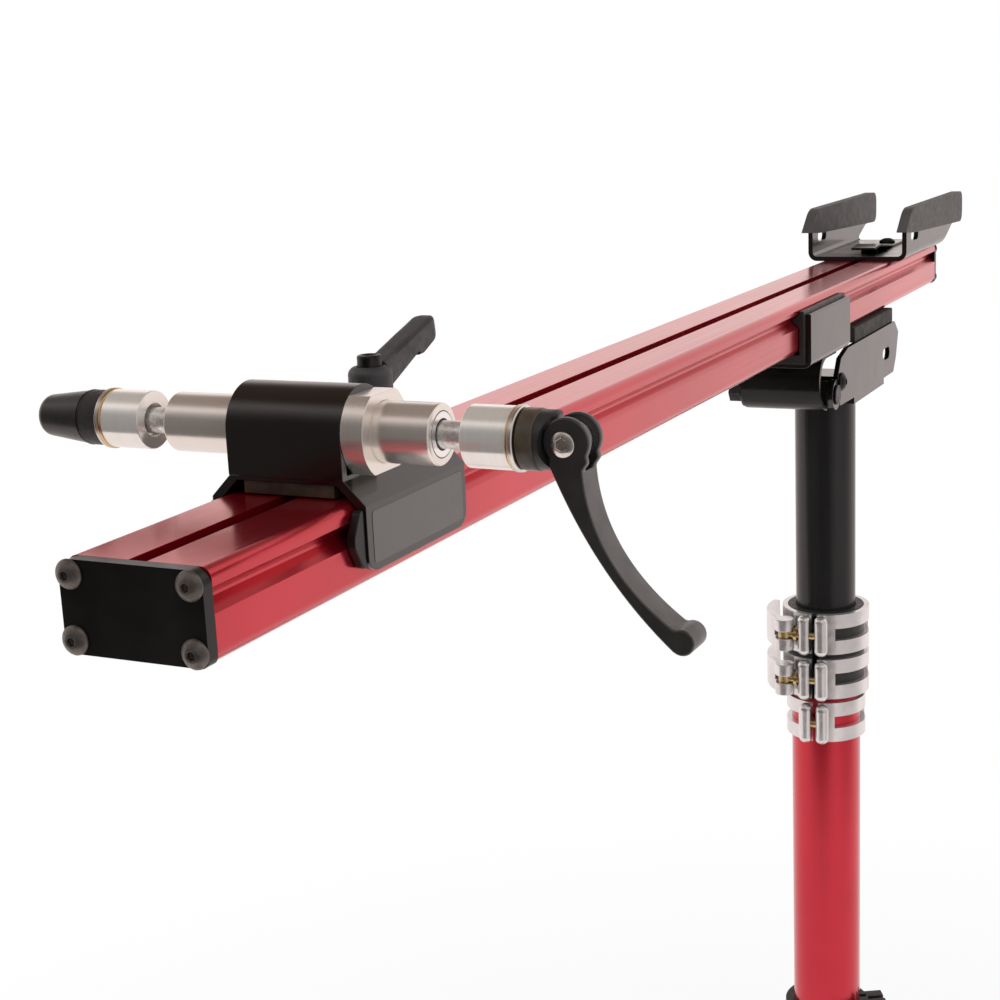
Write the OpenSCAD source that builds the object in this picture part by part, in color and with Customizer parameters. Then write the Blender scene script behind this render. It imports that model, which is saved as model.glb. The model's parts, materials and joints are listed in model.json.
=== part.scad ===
// Bicycle repair stand: a beam with a fork axle clamp and a bottom bracket cradle, on a telescopic mast
// with a folding tripod. Millimetres. Origin on the floor under the mast, +X along the beam towards the
// fork clamp, +Z up.

/* [Beam] */
// Height of the beam's top above the floor
beam_h = 950; // [910:5:1000]
// Width of the beam
beam_w = 50; // [48:0.5:54]
// Depth of the beam from top to bottom
beam_t = 28.5; // [27:0.5:32]
// Reach of the beam ahead of the mast
beam_front = 700; // [680:5:760]
// Reach of the beam behind the mast
beam_back = 197; // [195:1:240]
// Radius of the beam's upper long corners
corner_r = 3.6; // [2.4:0.2:4]
// Radius of the beam's lower long corners
beam_low_r = 4.4; // [3:0.2:5]
// Width of the slot's mouth
slot_w = 6.4; // [6.2:0.1:8]
// Thickness of the lips beside the slot
slot_lip = 2.6; // [2:0.1:3.2]
// Width of the slot inside
slot_in_w = 12; // [11:0.2:13]
// Height of the slot inside
slot_in_h = 7; // [6.5:0.1:8]
// Wall of the hollow beam
beam_wall = 2.4; // [2:0.1:2.8]
// Depth of the side grooves
groove_d = 4; // [3.2:0.1:4.4]
// Top edge of the side grooves, below the beam's top
groove_top = 5.6; // [5.2:0.1:6.4]
// Start of the flat in the groove, below the beam's top
groove_apex = 9; // [8:0.1:10]
// Height of the flat in the groove
groove_flat = 1; // [0.6:0.1:2]
// Bottom edge of the side grooves, below the beam's top
groove_bottom = 13.4; // [12.4:0.1:15]
// Thickness of the end plates
plate_t = 4.5; // [2:0.25:5]
// Radius of the end plates' upper corners
plate_r = 5; // [4:0.25:6]
// Radius of the end plates' lower corners
plate_low_r = 3; // [2:0.25:4]
// Screw centre from the beam's side
port_side = 4.1; // [3.9:0.05:4.4]
// Screw centre from the beam's top or bottom
port_edge = 4.4; // [4:0.1:4.8]
// Radius of the screw ports
port_r = 2.1; // [1.8:0.05:2.2]

/* [Axle carriage] */
// Axle centre ahead of the mast
axle_x = 607.5; // [560:0.5:640]
// Axle centre above the beam
axle_z = 20.2; // [20:0.1:24]
// Sheet thickness of the carriage saddle
saddle_t = 3; // [2.5:0.1:3.4]
// Saddle length ahead of the axle
saddle_ahead = 14.5; // [14:0.5:20]
// Saddle length behind the axle
saddle_behind = 53.5; // [50:0.5:70]
// Lower edge of the saddle's flanges, below the beam's top
flange_low = 23; // [22:0.5:26]
// Radius of the flanges' lower corners
saddle_r = 6; // [4:0.5:8]
// Top of the saddle's roof above the beam
roof_z = 8; // [7.5:0.1:8.8]
// Width of the flat roof
roof_w = 40; // [38:0.5:41]
// Thickness of the plastic liner beside the beam
liner_t = 1; // [0.8:0.1:1.6]
// Outer radius of the hat over the axle
hat_r = 15; // [14.8:0.1:16]
// Width of the hat along the axle
hat_w = 43; // [36:1:50]
// Distance between the fork ends
hub_w = 100; // [90:1:110]
// Radius of the axle barrel
barrel_r = 10; // [9:0.1:11]
// Radius of the bright insert in the barrel
insert_r = 7.5; // [6.5:0.1:8]
// Depth of the insert
insert_l = 8; // [5:0.5:12]
// Radius of the skewer
skewer_r = 4.5; // [3.5:0.1:5]
// Room for a fork end on each side
fork_gap = 10.5; // [8:0.5:13]
// Length of the clamp sleeves
sleeve_l = 15.5; // [12:0.5:18]
// Radius of the recess in a sleeve's inner end
recess_r = 7.3; // [6.5:0.1:8]
// Depth of that recess
recess_l = 3; // [2:0.25:5]
// Chamfer of the turned pieces
chamfer = 0.6; // [0.3:0.1:1]
// Thickness of the grip rings
ring_t = 2.5; // [2:0.1:4]
// Radius of the grip rings
ring_r = 10.4; // [10:0.1:12]
// Length of the skewer nut
nut_l = 28; // [24:0.5:34]
// Radius of the nut's grip band beside the ring
nut_r = 9.6; // [9:0.1:11]
// Width of the nut's grip band
nut_band = 7.5; // [5:0.5:10]
// Radius of the nut where its round end starts
nut_end_r = 7; // [6.4:0.1:8]
// Thickness of the collar beside the hat
collar_t = 8; // [6:0.5:10]
// Distance across the collar's wrench flats
collar_flats = 25.4; // [24.5:0.1:28]

/* [Cam lever] */
// Length of the spacer behind the cam seat
spacer_l = 6.4; // [5:0.1:9]
// Thickness of the cam seat under the cam
seat_floor = 1.5; // [1:0.1:3]
// Radius of the cam seat
seat_r = 9.3; // [8.5:0.1:10.5]
// Radius of the lever's cam
cam_r = 8.1; // [7.5:0.1:9]
// Offset of the cam from its pivot
cam_ecc = 1.8; // [1:0.1:2]
// Angle of that offset above the skewer when the lever is open
cam_angle = 20; // [10:1:30]
// Reach of the lever's tip out from the pivot
lever_out = 36; // [30:0.5:44]
// Drop of the lever's tip below the pivot
lever_drop = 58.6; // [50:0.2:66]
// Width of the lever's arm at its head
lever_w = 9.6; // [8:0.2:11]
// Width of the lever's arm before its tip
lever_neck = 4.5; // [3.5:0.25:6]
// Radius of the lever's round tip
lever_tip_r = 4.3; // [3.5:0.1:5]
// Bend radius of the arm's inner edge
lever_in_r = 170; // [140:1:220]
// Bend radius of the arm's outer edge
lever_out_r = 92; // [80:1:120]
// Breadth of the lever
lever_b = 12; // [11:0.5:16]
// Width of the slot in the lever's head
fork_slot = 6.4; // [5.8:0.1:7]

/* [Clamping handle] */
// Handle centre behind the axle
handle_back = 42.5; // [40:0.5:44]
// Radius of the handle's hub
handle_r = 7.6; // [7:0.1:9]
// Height of the handle's hub
handle_hub_h = 27; // [24:0.5:32]
// Length of the handle's arm
handle_l = 41; // [36:1:50]
// Width of the handle's arm
handle_w = 12; // [10:0.5:14]
// Width of the handle's flat top
handle_top_w = 7; // [5:0.5:8]
// Height of the handle's arm at its tip
handle_tip_h = 8.5; // [7:0.5:11]
// Rise of the handle's arm from hub to tip
handle_rise = 10; // [7:0.5:12]
// Height of the cap on the handle's hub
cap_h = 4; // [3:0.25:5]
// Radius of the clamping stud
stud_r = 3; // [2.5:0.1:3]

/* [Bottom bracket cradle] */
// Front end of the pads behind the mast
cradle_front = 67; // [60:1:70]
// Length of the pads
pad_l = 174; // [168:1:186]
// Sheet thickness of the cradle
cradle_t = 3; // [2.5:0.25:4]
// Distance between the uprights' outer faces
cradle_w = 66; // [60:1:76]
// Height of the uprights above the beam
cradle_h = 31.5; // [30:0.5:36]
// Length of the cradle's base
cradle_base_l = 112; // [100:1:114]
// Height of the pads at their front
pad_h = 15; // [13:0.5:17]
// Height of the pads at their rear end
pad_rear_h = 23; // [20:0.5:25]
// Radius of the pads' upper corners
pad_r = 6; // [4:0.5:8]
// Rubber thickness of the pads
pad_t = 2.6; // [2:0.1:3.5]
// Radius of the holes in the uprights
cradle_hole_r = 3.2; // [2.5:0.1:3.6]
// Length of the front holes
cradle_slot_l = 20; // [14:1:24]
// Width of the strap tongue
tongue_w = 16; // [12:0.5:20]
// Thickness of the strap tongue
tongue_t = 1.6; // [1.4:0.1:2.5]
// Outer radius of the cradle's bends
cradle_bend = 6; // [4.5:0.5:8]
// Distance of the front bolt from the cradle's front edge
cradle_bolt_in = 32; // [26:1:36]
// Distance between the cradle's bolts
cradle_bolt_pitch = 50; // [44:1:56]
// Length of the tongue ahead of its bolt
tongue_l = 66; // [56:1:70]
// Reach of the strap tongue behind its bolt
tongue_back = 22; // [12:1:26]
// Rise of the tongue's front end
tongue_lift = 3.6; // [3:0.2:8]

/* [Hinge] */
// Front end of the hinge saddle ahead of the mast
hinge_front = 137; // [130:1:160]
// Rear end of the hinge saddle ahead of the mast
hinge_back = 55; // [50:1:57]
// Sheet thickness of the hinge saddle
hinge_t = 3; // [2.5:0.1:3.5]
// Liner thickness between the beam and the hinge saddle
hinge_liner_t = 3; // [2.5:0.1:4]
// Top edge of the side plates, below the beam's top
hinge_top = 6; // [5:0.5:7]
// Outer radius of the hinge saddle's bends
hinge_bend = 4.5; // [3.5:0.25:5]
// Pivot centre ahead of the mast
pivot_x = 75; // [70:0.5:78]
// Pivot centre below the beam's top
pivot_z = 62; // [60:0.5:64]
// Radius of the hinge barrel
knuckle_r = 8; // [7.5:0.25:8.25]
// Outer radius of the hinge's bent front plate
nose_r = 17; // [16:0.25:18]
// Centre of the bent front plate ahead of the pivot
nose_ahead = 5; // [3:0.25:7]
// Radius of the cheeks' rounded lugs
lug_r = 9; // [8:0.25:10]
// Thickness of the yoke's cheeks
cheek_t = 3; // [2.5:0.25:4]
// Distance between the cheeks
yoke_w = 50.4; // [48:0.2:52]
// Top of the cheeks, below the beam's top
cheek_top = 38; // [37.5:0.25:40]
// Bottom of the yoke, below the beam's top
cheek_low = 77; // [75:0.5:80]
// Lower edge of the cheeks below the beam's top
cheek_edge = 71; // [69:0.5:73]
// Rear end of the cheeks behind the mast
cheek_back = 76; // [70:1:84]
// Length of the slopes at the back and front of a cheek
cheek_slope = 26; // [20:1:30]
// Size of the small corner cuts of a cheek
cheek_step = 10; // [8:0.5:12]
// Place of the yoke's front edge ahead of the mast's axis
yoke_front = 24; // [20:1:28]
// Length of the yoke's spigot in the inner tube
spigot_l = 40; // [30:1:60]
// Place of the rest pad's front edge ahead of the mast's axis
rest_front = 30; // [24:1:36]
// Radius of the pivot bolt
pivot_r = 4; // [3.5:0.1:4.5]
// Stop bolt behind the pivot
stop_back = 10; // [10:0.5:13]
// Stop bolt above the pivot
stop_up = 6; // [5.5:0.25:7]
// Radius of the holes in the cheeks
cheek_hole_r = 3.8; // [3:0.1:4.4]
// Length of the slots in the cheeks
cheek_slot_l = 17.5; // [12:0.5:20]

/* [Mast] */
// Radius of the inner tube
inner_r = 19.05; // [18.5:0.05:19.5]
// Wall of the inner tube
inner_wall = 1.5; // [1.2:0.1:2]
// Length of the inner tube
inner_l = 505; // [480:5:520]
// Radius of the outer tube
outer_r = 22.25; // [22:0.05:23]
// Wall of the outer tube
outer_wall = 1.75; // [1.5:0.05:2]
// Lower end of the outer tube above the floor
outer_low = 70; // [60:1:80]
// Length of the glide bush
bush_l = 36; // [25:1:45]
// Top of the mast clamp above the floor
clamp_h = 736; // [730:1:756]
// Height of the closed ring above the clamp sleeve's slit
sleeve_ring_h = 2.5; // [2:0.25:4]
// Radius of the clamp sleeve
sleeve_r = 24.5; // [24:0.1:25]
// Height of each clamp band
band_h = 26.5; // [24:0.5:28]
// Gap between the bands
band_gap = 3.6; // [3:0.2:5]
// Thickness of the bands
band_t = 3.3; // [2.5:0.1:4]
// Height of the windows in the bands
window_h = 8; // [6:0.5:10]
// Width of the slit in the bands
slit_w = 3.6; // [3:0.2:4]
// Radius of the rolled ears
ear_r = 4.4; // [4:0.1:4.8]
// Reach of the clamp levers round the mast
clamp_lever_span = 72; // [60:1:80]

/* [Tripod] */
// Height of the lower hub's pins above the floor
hub_h = 130; // [120:1:140]
// Distance of the leg and strut pins from the mast's axis
pin_reach = 46; // [45:0.5:50]
// Angle of the open legs from the vertical
leg_angle = 52; // [48:1:54]
// Length of the struts between their pins
strut_l = 225; // [215:1:235]
// Radius of the legs
leg_r = 12.7; // [12:0.1:13]
// Wall of the legs
leg_wall = 1.5; // [1.2:0.1:2]
// Leg tube above its pin
leg_over = 10; // [9:0.5:11]
// Thickness of the strut bars
bar_t = 3; // [2:0.25:4]
// Width of the strut bars
bar_w = 16; // [14:0.5:18]
// Radius of the pins
pin_r = 3; // [2.5:0.1:3.5]
// Outer radius of hub and collar
hub_r = 28; // [27:0.25:28.5]
// Height of the lower hub
hub_t = 36; // [30:1:40]
// Sliding collar below its pins
slide_low = 20; // [16:1:26]
// Sliding collar above its pins
slide_up = 44; // [42:1:50]
// Thickness of the collar's lugs
lug_t = 5; // [4:0.25:6]
// Radius of the lugs' round ends
lug_h = 10; // [9:0.25:11]
// Rubber thickness of the feet
foot_t = 3; // [2.5:0.25:4]
// Radius of the feet's round ends
foot_r = 18; // [17:0.25:20]
// Height of the legs' lower ends above the floor
foot_h = 15; // [13:0.25:16]
// Length of the feet along the legs
foot_l = 60; // [50:1:75]

/* [Fits] */
// Gap between a pin and its bore
pin_gap = 0.06; // [0.04:0.01:0.1]
// Gap between pieces that slide or swing past each other
run_gap = 0.3; // [0.2:0.05:0.5]
// Gap between the tubes and what slides on them
tube_gap = 0.08; // [0.05:0.01:0.1]

/* [Hidden] */
$fn = 64;

RED = "#B01E33";
BLACK = "#1B1B1D";
GREY = "#3A3A3C";
ALU = "#C9C6C0";
CHROME = "#D8D8DA";
GOLD = "#B59A62";

beam_x0 = -beam_back;
port_y = beam_w / 2 - port_side;
head_r = 4.6;
head_h = 3;

// Bars and plates along the axes
module rod_x(r, x0, x1) translate([x0, 0, 0]) rotate([0, 90, 0]) cylinder(r = r, h = x1 - x0);
module rod_y(r, y0, y1) translate([0, y0, 0]) rotate([-90, 0, 0]) cylinder(r = r, h = y1 - y0);
module rod_z(r, z0, z1) translate([0, 0, z0]) cylinder(r = r, h = z1 - z0);
module slab_x(x0, x1) translate([x0, 0, 0]) rotate([90, 0, 90]) linear_extrude(x1 - x0) children();
module slab_y(y0, y1) translate([0, y1, 0]) rotate([90, 0, 0]) linear_extrude(y1 - y0) children();
module box(x0, x1, y0, y1, z0, z1) translate([x0, y0, z0]) cube([x1 - x0, y1 - y0, z1 - z0]);
module at_beam() translate([0, 0, beam_h]) children();
module both_sides() for (s = [0, 1]) mirror([0, s, 0]) children();

module rounded_rect(w, h, r) {
    square([w - 2 * r, h], center = true);
    square([w, h - 2 * r], center = true);
    for (x = [-1, 1], y = [-1, 1]) translate([x * (w / 2 - r), y * (h / 2 - r)]) circle(r);
}

// Outline whose corners are rounded with the given radii, each in small steps
corner_steps = 8;
function unit(v) = v / norm(v);
function round_corner(last, p, next, r) = let (
    to_last = unit(last - p), to_next = unit(next - p),
    half = acos(to_last * to_next) / 2,
    centre = p + unit(to_last + to_next) * r / sin(half),
    from = p + to_last * r / tan(half) - centre,
    to = p + to_next * r / tan(half) - centre,
    start = atan2(from[1], from[0]),
    sweep = (atan2(to[1], to[0]) - start + 540) % 360 - 180
) [for (k = [0:corner_steps]) let (a = start + sweep * k / corner_steps) centre + r * [cos(a), sin(a)]];
module rounded_poly(p, radii) {
    count = len(p);
    polygon([for (i = [0:count - 1])
        each round_corner(p[(i + count - 1) % count], p[i], p[(i + 1) % count], radii[i])]);
}

// Rectangle below the X axis with different radii at its upper and lower corners
module hanging_rect(w, h, upper_r, lower_r) {
    translate([-w / 2, lower_r - h]) square([w, h - upper_r - lower_r]);
    for (c = [[upper_r, -upper_r, -h / 2], [lower_r, lower_r - h, -h]]) {
        translate([c[0] - w / 2, c[2]]) square([w - 2 * c[0], h / 2]);
        for (s = [-1, 1]) translate([s * (w / 2 - c[0]), c[1]]) circle(c[0]);
    }
}

// Ring along Y or Z
module ring_y(r_out, r_in, y0, y1) difference() {
    rod_y(r_out, y0, y1);
    rod_y(r_in, y0 - 1, y1 + 1);
}
module ring_z(r_out, r_in, z0, z1) difference() {
    rod_z(r_out, z0, z1);
    rod_z(r_in, z0 - 1, z1 + 1);
}

// Turned piece along Y: rectangle from y0 to y1 between two radii, with chamfered outer corners
module turned_y(r_out, r_in, y0, y1, c = chamfer) rotate([-90, 0, 0]) rotate_extrude() polygon([
    [r_in, y0], [r_out - c, y0], [r_out, y0 + c], [r_out, y1 - c], [r_out - c, y1], [r_in, y1]
]);

// Button head with a hex socket, its shank along -Z from the seat at z = 0
module button_screw(shank_r, shank_l, r = head_r, h = head_h) {
    dome_h = h * 0.75;
    dome_r = (r * r + dome_h * dome_h) / (2 * dome_h);
    difference() {
        union() {
            intersection() {
                rod_z(r, 0, h);
                translate([0, 0, h - dome_r]) sphere(dome_r);
            }
            rod_z(shank_r, -shank_l, h / 2);
        }
        translate([0, 0, h / 3]) cylinder(r = shank_r * 0.75, h = h, $fn = 6);
    }
}

// Beam

module groove_cut() {
    edge = beam_w / 2;
    polygon([
        [edge + 1, -groove_top], [edge, -groove_top], [edge - groove_d, -groove_apex],
        [edge - groove_d, -groove_apex - groove_flat], [edge, -groove_bottom], [edge + 1, -groove_bottom]
    ]);
}

module beam_section() difference() {
    slot_floor = slot_lip + slot_in_h;
    cell_in = slot_in_w / 2 + beam_wall;
    cell_out = port_y - port_r - beam_wall * 0.6;
    cell_top = slot_lip + 0.6;
    hanging_rect(beam_w, beam_t, corner_r, beam_low_r);
    translate([-slot_w / 2, -slot_lip - 1]) square([slot_w, slot_lip + 2]);
    translate([-slot_in_w / 2, -slot_floor]) square([slot_in_w, slot_in_h]);
    translate([-slot_in_w / 2, -beam_t + beam_wall]) square([slot_in_w, beam_t - slot_floor - 2 * beam_wall]);
    for (s = [0, 1]) mirror([s, 0]) {
        groove_cut();
        translate([cell_in, -beam_t + beam_wall]) square([cell_out - cell_in, beam_t - beam_wall - cell_top]);
        for (z = [port_edge, beam_t - port_edge]) translate([port_y, -z]) circle(port_r);
    }
}

module beam_rail() color(RED) at_beam() difference() {
    slab_x(beam_x0, beam_front) beam_section();
    for (x = hinge_bolt_x) translate([x, 0, 0]) rod_z(stud_r, -beam_t - 1, -beam_t + beam_wall + 1);
}

module end_plate_blank() difference() {
    hanging_rect(beam_w, beam_t, plate_r, plate_low_r);
    for (y = [-port_y, port_y], z = [port_edge, beam_t - port_edge]) translate([y, -z]) circle(port_r + 0.2);
}

module end_plates() color(BLACK) at_beam() for (x = [beam_front, beam_x0 - plate_t])
    slab_x(x, x + plate_t) end_plate_blank();

module end_plate_screws() color(GREY) at_beam()
    for (end = [0, 1], y = [-port_y, port_y], z = [port_edge, beam_t - port_edge])
        translate([end == 0 ? beam_front + plate_t : beam_x0 - plate_t, y, -z])
            rotate([0, end == 0 ? 90 : -90, 0]) button_screw(port_r - pin_gap, 14);

// Carriage that runs on the beam and holds the axle
flange_in = beam_w / 2 + liner_t;
flange_out = flange_in + saddle_t;
saddle_x0 = axle_x - saddle_behind;
saddle_x1 = axle_x + saddle_ahead;
handle_x = axle_x - handle_back;
hat_in = hat_r - saddle_t;
module at_axle() translate([axle_x, 0, beam_h + axle_z]) children();

// Half of the sheet's outline, moved in by d, down to the height low
function roof_half(d, low) = let (line = roof_w / 2 + roof_z - d * sqrt(2)) [
    [flange_out - d, low], [flange_out - d, line - flange_out + d], [line - roof_z + d, roof_z - d]
];
function mirrored(p) = [for (i = [len(p) - 1:-1:0]) [-p[i][0], p[i][1]]];
module roof_outline(d, low) {
    half = roof_half(d, low);
    polygon(concat(half, mirrored(half)));
}

module hat_form(r, w, low) {
    at_axle() rod_y(r, -w / 2, w / 2);
    at_beam() box(axle_x - r, axle_x + r, -w / 2, w / 2, low, axle_z);
}

// Side view of the saddle, its ends moved in by d
module saddle_side(d) at_beam() slab_y(-roof_w, roof_w) rounded_poly([
    [saddle_x0 + d, roof_z + 1], [saddle_x1 - d, roof_z + 1], [saddle_x1 - d, -flange_low], [saddle_x0 + d, -flange_low]
], [0.5, 0.5, saddle_r, saddle_r]);

module axle_saddle() color(BLACK) difference() {
    union() {
        intersection() {
            saddle_side(0);
            at_beam() slab_x(saddle_x0, saddle_x1) difference() {
                roof_outline(0, -flange_low - 1);
                roof_outline(saddle_t, -flange_low - 2);
            }
        }
        hat_form(hat_r, hat_w, roof_z - saddle_t / 2);
    }
    hat_form(hat_in, hat_w + 2, roof_z);
    translate([handle_x, 0, beam_h]) rod_z(stud_r + run_gap, 0, roof_z + 1);
}

// Side liner with a tongue in the beam's groove, from the height top to low, out to the face at y
module liner_section(top, low, y) {
    edge = beam_w / 2 + run_gap;
    polygon([
        [y, -top], [edge, -top], [edge, -groove_top], [edge - groove_d, -groove_apex],
        [edge - groove_d, -groove_apex - groove_flat], [edge, -groove_bottom], [edge, -low], [y, -low]
    ]);
}

module saddle_liners() color(GREY) both_sides() intersection() {
    saddle_side(1);
    at_beam() slab_x(saddle_x0, saddle_x1) liner_section(3.2, flange_low + 1, flange_in);
}

module glide_block() color("#3B3028") at_beam() difference() {
    w = roof_w / 2 - saddle_t;
    box(saddle_x0 + 1, saddle_x1 - 1, -w, w, run_gap, roof_z - saddle_t);
    translate([handle_x, 0, 0]) rod_z(stud_r + run_gap, -1, roof_z);
}

barrel_y = hub_w / 2;
insert_line = 0.25;
module axle_barrel() color(ALU) at_axle() difference() {
    turned_y(barrel_r, skewer_r + run_gap, -barrel_y, barrel_y);
    both_sides() rod_y(insert_r, barrel_y - insert_l, barrel_y + 1);
}

// Bright ring in each end of the barrel, with a fine line round its face
module barrel_inserts() color(CHROME) at_axle() both_sides() {
    ring_y(insert_r, skewer_r + pin_gap, barrel_y - insert_l, barrel_y - 2);
    ring_y(insert_r - insert_line, skewer_r + pin_gap, barrel_y - 2, barrel_y);
}

module flanged_bush() color(ALU) at_axle() difference() {
    union() {
        rod_y(hat_in, -hat_w / 2, hat_w / 2);
        intersection() {
            rod_y(hat_r, hat_w / 2, hat_w / 2 + collar_t);
            box(-hat_r, hat_r, hat_w / 2, hat_w / 2 + collar_t, -collar_flats / 2, collar_flats / 2);
        }
    }
    rod_y(barrel_r, -hat_w, hat_w);
}

// Skewer and what it clamps, from the barrel outwards
sleeve_y = barrel_y + fork_gap;
ring_y0 = sleeve_y + sleeve_l;
spacer_y = ring_y0 + ring_t;
seat_y = spacer_y + spacer_l;
cam_gap = 0.6;
cam_rest = cam_r - cam_ecc * cos(cam_angle);
cam_reach = cam_r + cam_ecc;
pivot_y = seat_y + seat_floor + cam_gap + cam_rest;

module clamp_sleeve_at() difference() {
    turned_y(barrel_r, skewer_r + pin_gap, sleeve_y, ring_y0);
    rod_y(recess_r, sleeve_y - 1, sleeve_y + recess_l);
}
module grip_ring_at() difference() {
    turned_y(ring_r, skewer_r + pin_gap, ring_y0, spacer_y, ring_t / 6);
    ring_y(ring_r + 1, ring_r - ring_t / 6, ring_y0 + ring_t * 0.4, ring_y0 + ring_t * 0.6);
}

module clamp_sleeve_right() color(ALU) at_axle() clamp_sleeve_at();
module clamp_sleeve_left() color(ALU) at_axle() mirror([0, 1, 0]) clamp_sleeve_at();
module grip_ring_right() color(GOLD) at_axle() grip_ring_at();
module grip_ring_left() color(GOLD) at_axle() mirror([0, 1, 0]) grip_ring_at();

module seat_spacer() color("#3B3028") at_axle()
    turned_y(seat_r + 0.4, skewer_r + pin_gap, spacer_y, seat_y, 0.8);

// The seat is hollowed for the cam, wide enough for the cam's whole turn
seat_wings = 4.3;
seat_hollow_r = cam_reach + 2.1;
module cam_seat() color(BLACK) at_axle() difference() {
    rod_y(seat_r, seat_y, pivot_y - seat_wings);
    rod_y(skewer_r + pin_gap, seat_y - 1, pivot_y);
    translate([0, seat_y + seat_floor + seat_hollow_r, 0]) rod_x(seat_hollow_r, -seat_r - 1, seat_r + 1);
}

eye_r = 6;
eye_t = fork_slot - 2 * run_gap;
skewer_end = -spacer_y - nut_l + 8;
module skewer() color(ALU) at_axle() difference() {
    union() {
        rod_y(skewer_r, skewer_end, pivot_y - cam_reach - run_gap);
        intersection() {
            rod_y(skewer_r, 0, pivot_y);
            box(-eye_t / 2, eye_t / 2, 0, pivot_y, -skewer_r, skewer_r);
        }
        translate([0, pivot_y, 0]) rod_x(eye_r, -eye_t / 2, eye_t / 2);
    }
    translate([0, pivot_y, 0]) rod_x(pin_r + pin_gap, -lever_b, lever_b);
}

// Nut: a grip band, a taper and a round end
module skewer_nut() color(BLACK) at_axle() difference() {
    dome = nut_l * 0.16;
    rotate([90, 0, 0]) translate([0, 0, spacer_y]) rotate_extrude() polygon([
        [0, 0], [nut_r, 0], [nut_r, nut_band], [nut_r - 0.5, nut_band],
        for (a = [0:15:90]) [nut_end_r - dome + dome * cos(a), nut_l - dome + dome * sin(a)],
        [0, nut_l]
    ]);
    rod_y(skewer_r + pin_gap, skewer_end - run_gap, 0);
}

// Centre of the arc with radius r from p to q that bulges to the right of that line
function arc_centre(p, q, r) = let (d = q - p, h = sqrt(r * r - d * d / 4))
    (p + q) / 2 + h / norm(d) * [-d[1], d[0]];

// Lever in its own plane, the pivot at the origin: a cam, an arm between two arcs, and a round tip
module lever_outline() {
    tip = [lever_out, -lever_drop];
    along = tip / norm(tip);
    side = [along[1], -along[0]];
    neck = tip - along * lever_tip_r * 1.6;
    root_in = along * cam_r * 0.9 + side * lever_w / 2;
    root_out = along * cam_r * 0.9 - side * lever_w / 2;
    neck_in = neck + side * lever_neck / 2;
    neck_out = neck - side * lever_neck / 2;
    translate(cam_ecc * [cos(cam_angle), sin(cam_angle)]) circle(cam_r);
    difference() {
        intersection() {
            translate(arc_centre(root_in, tip + side * lever_tip_r, lever_in_r)) circle(lever_in_r);
            polygon([root_in + side * lever_w, tip + side * lever_w, tip, neck_out, root_out]);
        }
        translate(arc_centre(root_out, neck_out, lever_out_r)) circle(lever_out_r);
    }
    translate(tip) circle(lever_tip_r);
}

module cam_lever() color(BLACK) at_axle() translate([0, pivot_y, 0]) difference() {
    rotate([90, 0, 90]) linear_extrude(lever_b, center = true) lever_outline();
    rod_x(cam_reach + run_gap, -fork_slot / 2, fork_slot / 2);
    rod_x(pin_r + pin_gap, -lever_b, lever_b);
}

module cam_screw() color(CHROME) at_axle() translate([lever_b / 2, pivot_y, 0]) rotate([0, 90, 0])
    button_screw(pin_r, lever_b, 4, 1.6);

// Clamping handle of the carriage
handle_screw_r = 1.5;
screw_seat = roof_z + handle_hub_h - 1.5;
stud_top = screw_seat - 2.5;
module slot_stud() color(GREY) translate([handle_x, 0, beam_h]) {
    nut_top = -slot_lip - run_gap;
    nut_w = slot_in_w / 2 - run_gap;
    box(-8, 8, -nut_w, nut_w, nut_top - slot_in_h + 2 * run_gap + 1, nut_top);
    rod_z(stud_r, nut_top - 1, stud_top);
}

// Arm of the handle from the side, with a notch under its tip
module handle_side() {
    top = roof_z + handle_hub_h;
    tip = top + handle_rise;
    low = tip - handle_tip_h;
    polygon([
        [0, top - 11], [0, top], [-handle_r, top], [-handle_l + 3, tip], [-handle_l, tip - 1],
        [-handle_l, low + 3], [-handle_l + 2, low + 1.5], [-handle_l + 6, low + 1.5], [-handle_l + 7, low],
        [-handle_r, top - 11]
    ]);
}

// The arm's sides lean in above a ridge, and its end is round
module handle_arm() intersection() {
    slope = atan2(handle_rise, handle_l - 3 - handle_r);
    side = handle_w / 2;
    lean = side - handle_top_w / 2;
    slab_y(-side, side) handle_side();
    translate([0, 0, roof_z]) linear_extrude(2 * handle_hub_h) {
        translate([-handle_l + side, 0]) circle(side);
        translate([-handle_l + side, -side]) square([handle_l - side, handle_w]);
    }
    translate([-handle_r, 0, roof_z + handle_hub_h]) rotate([0, slope, 0]) slab_x(-2 * handle_l, handle_l) polygon([
        [-side - 1, -2 * handle_l], [side + 1, -2 * handle_l], [side + 1, -lean - 1], [side, -lean],
        [handle_top_w / 2, 0.5], [-handle_top_w / 2, 0.5], [-side, -lean], [-side - 1, -lean - 1]
    ]);
}

cap_r = stud_r + 1.3;
module clamping_handle() color(GREY) translate([handle_x, 0, beam_h]) difference() {
    union() {
        rod_z(handle_r, roof_z + run_gap, roof_z + handle_hub_h - 1.5);
        rod_z(handle_r - 1, roof_z + run_gap, roof_z + handle_hub_h);
        handle_arm();
    }
    rod_z(stud_r + pin_gap, 0, stud_top + run_gap);
    rod_z(handle_screw_r + pin_gap, 0, screw_seat + 1);
    rod_z(cap_r + 0.2, screw_seat, screw_seat + 15);
}

// Cap screw with a dished top
module handle_screw() color(BLACK) translate([handle_x, 0, beam_h + screw_seat]) difference() {
    top = roof_z + handle_hub_h + cap_h - screw_seat;
    dish_r = 2 * cap_r;
    union() {
        rod_z(cap_r, 0, top);
        rod_z(handle_screw_r, -2, 1);
    }
    translate([0, 0, top + dish_r - 0.7]) sphere(dish_r);
}

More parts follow.
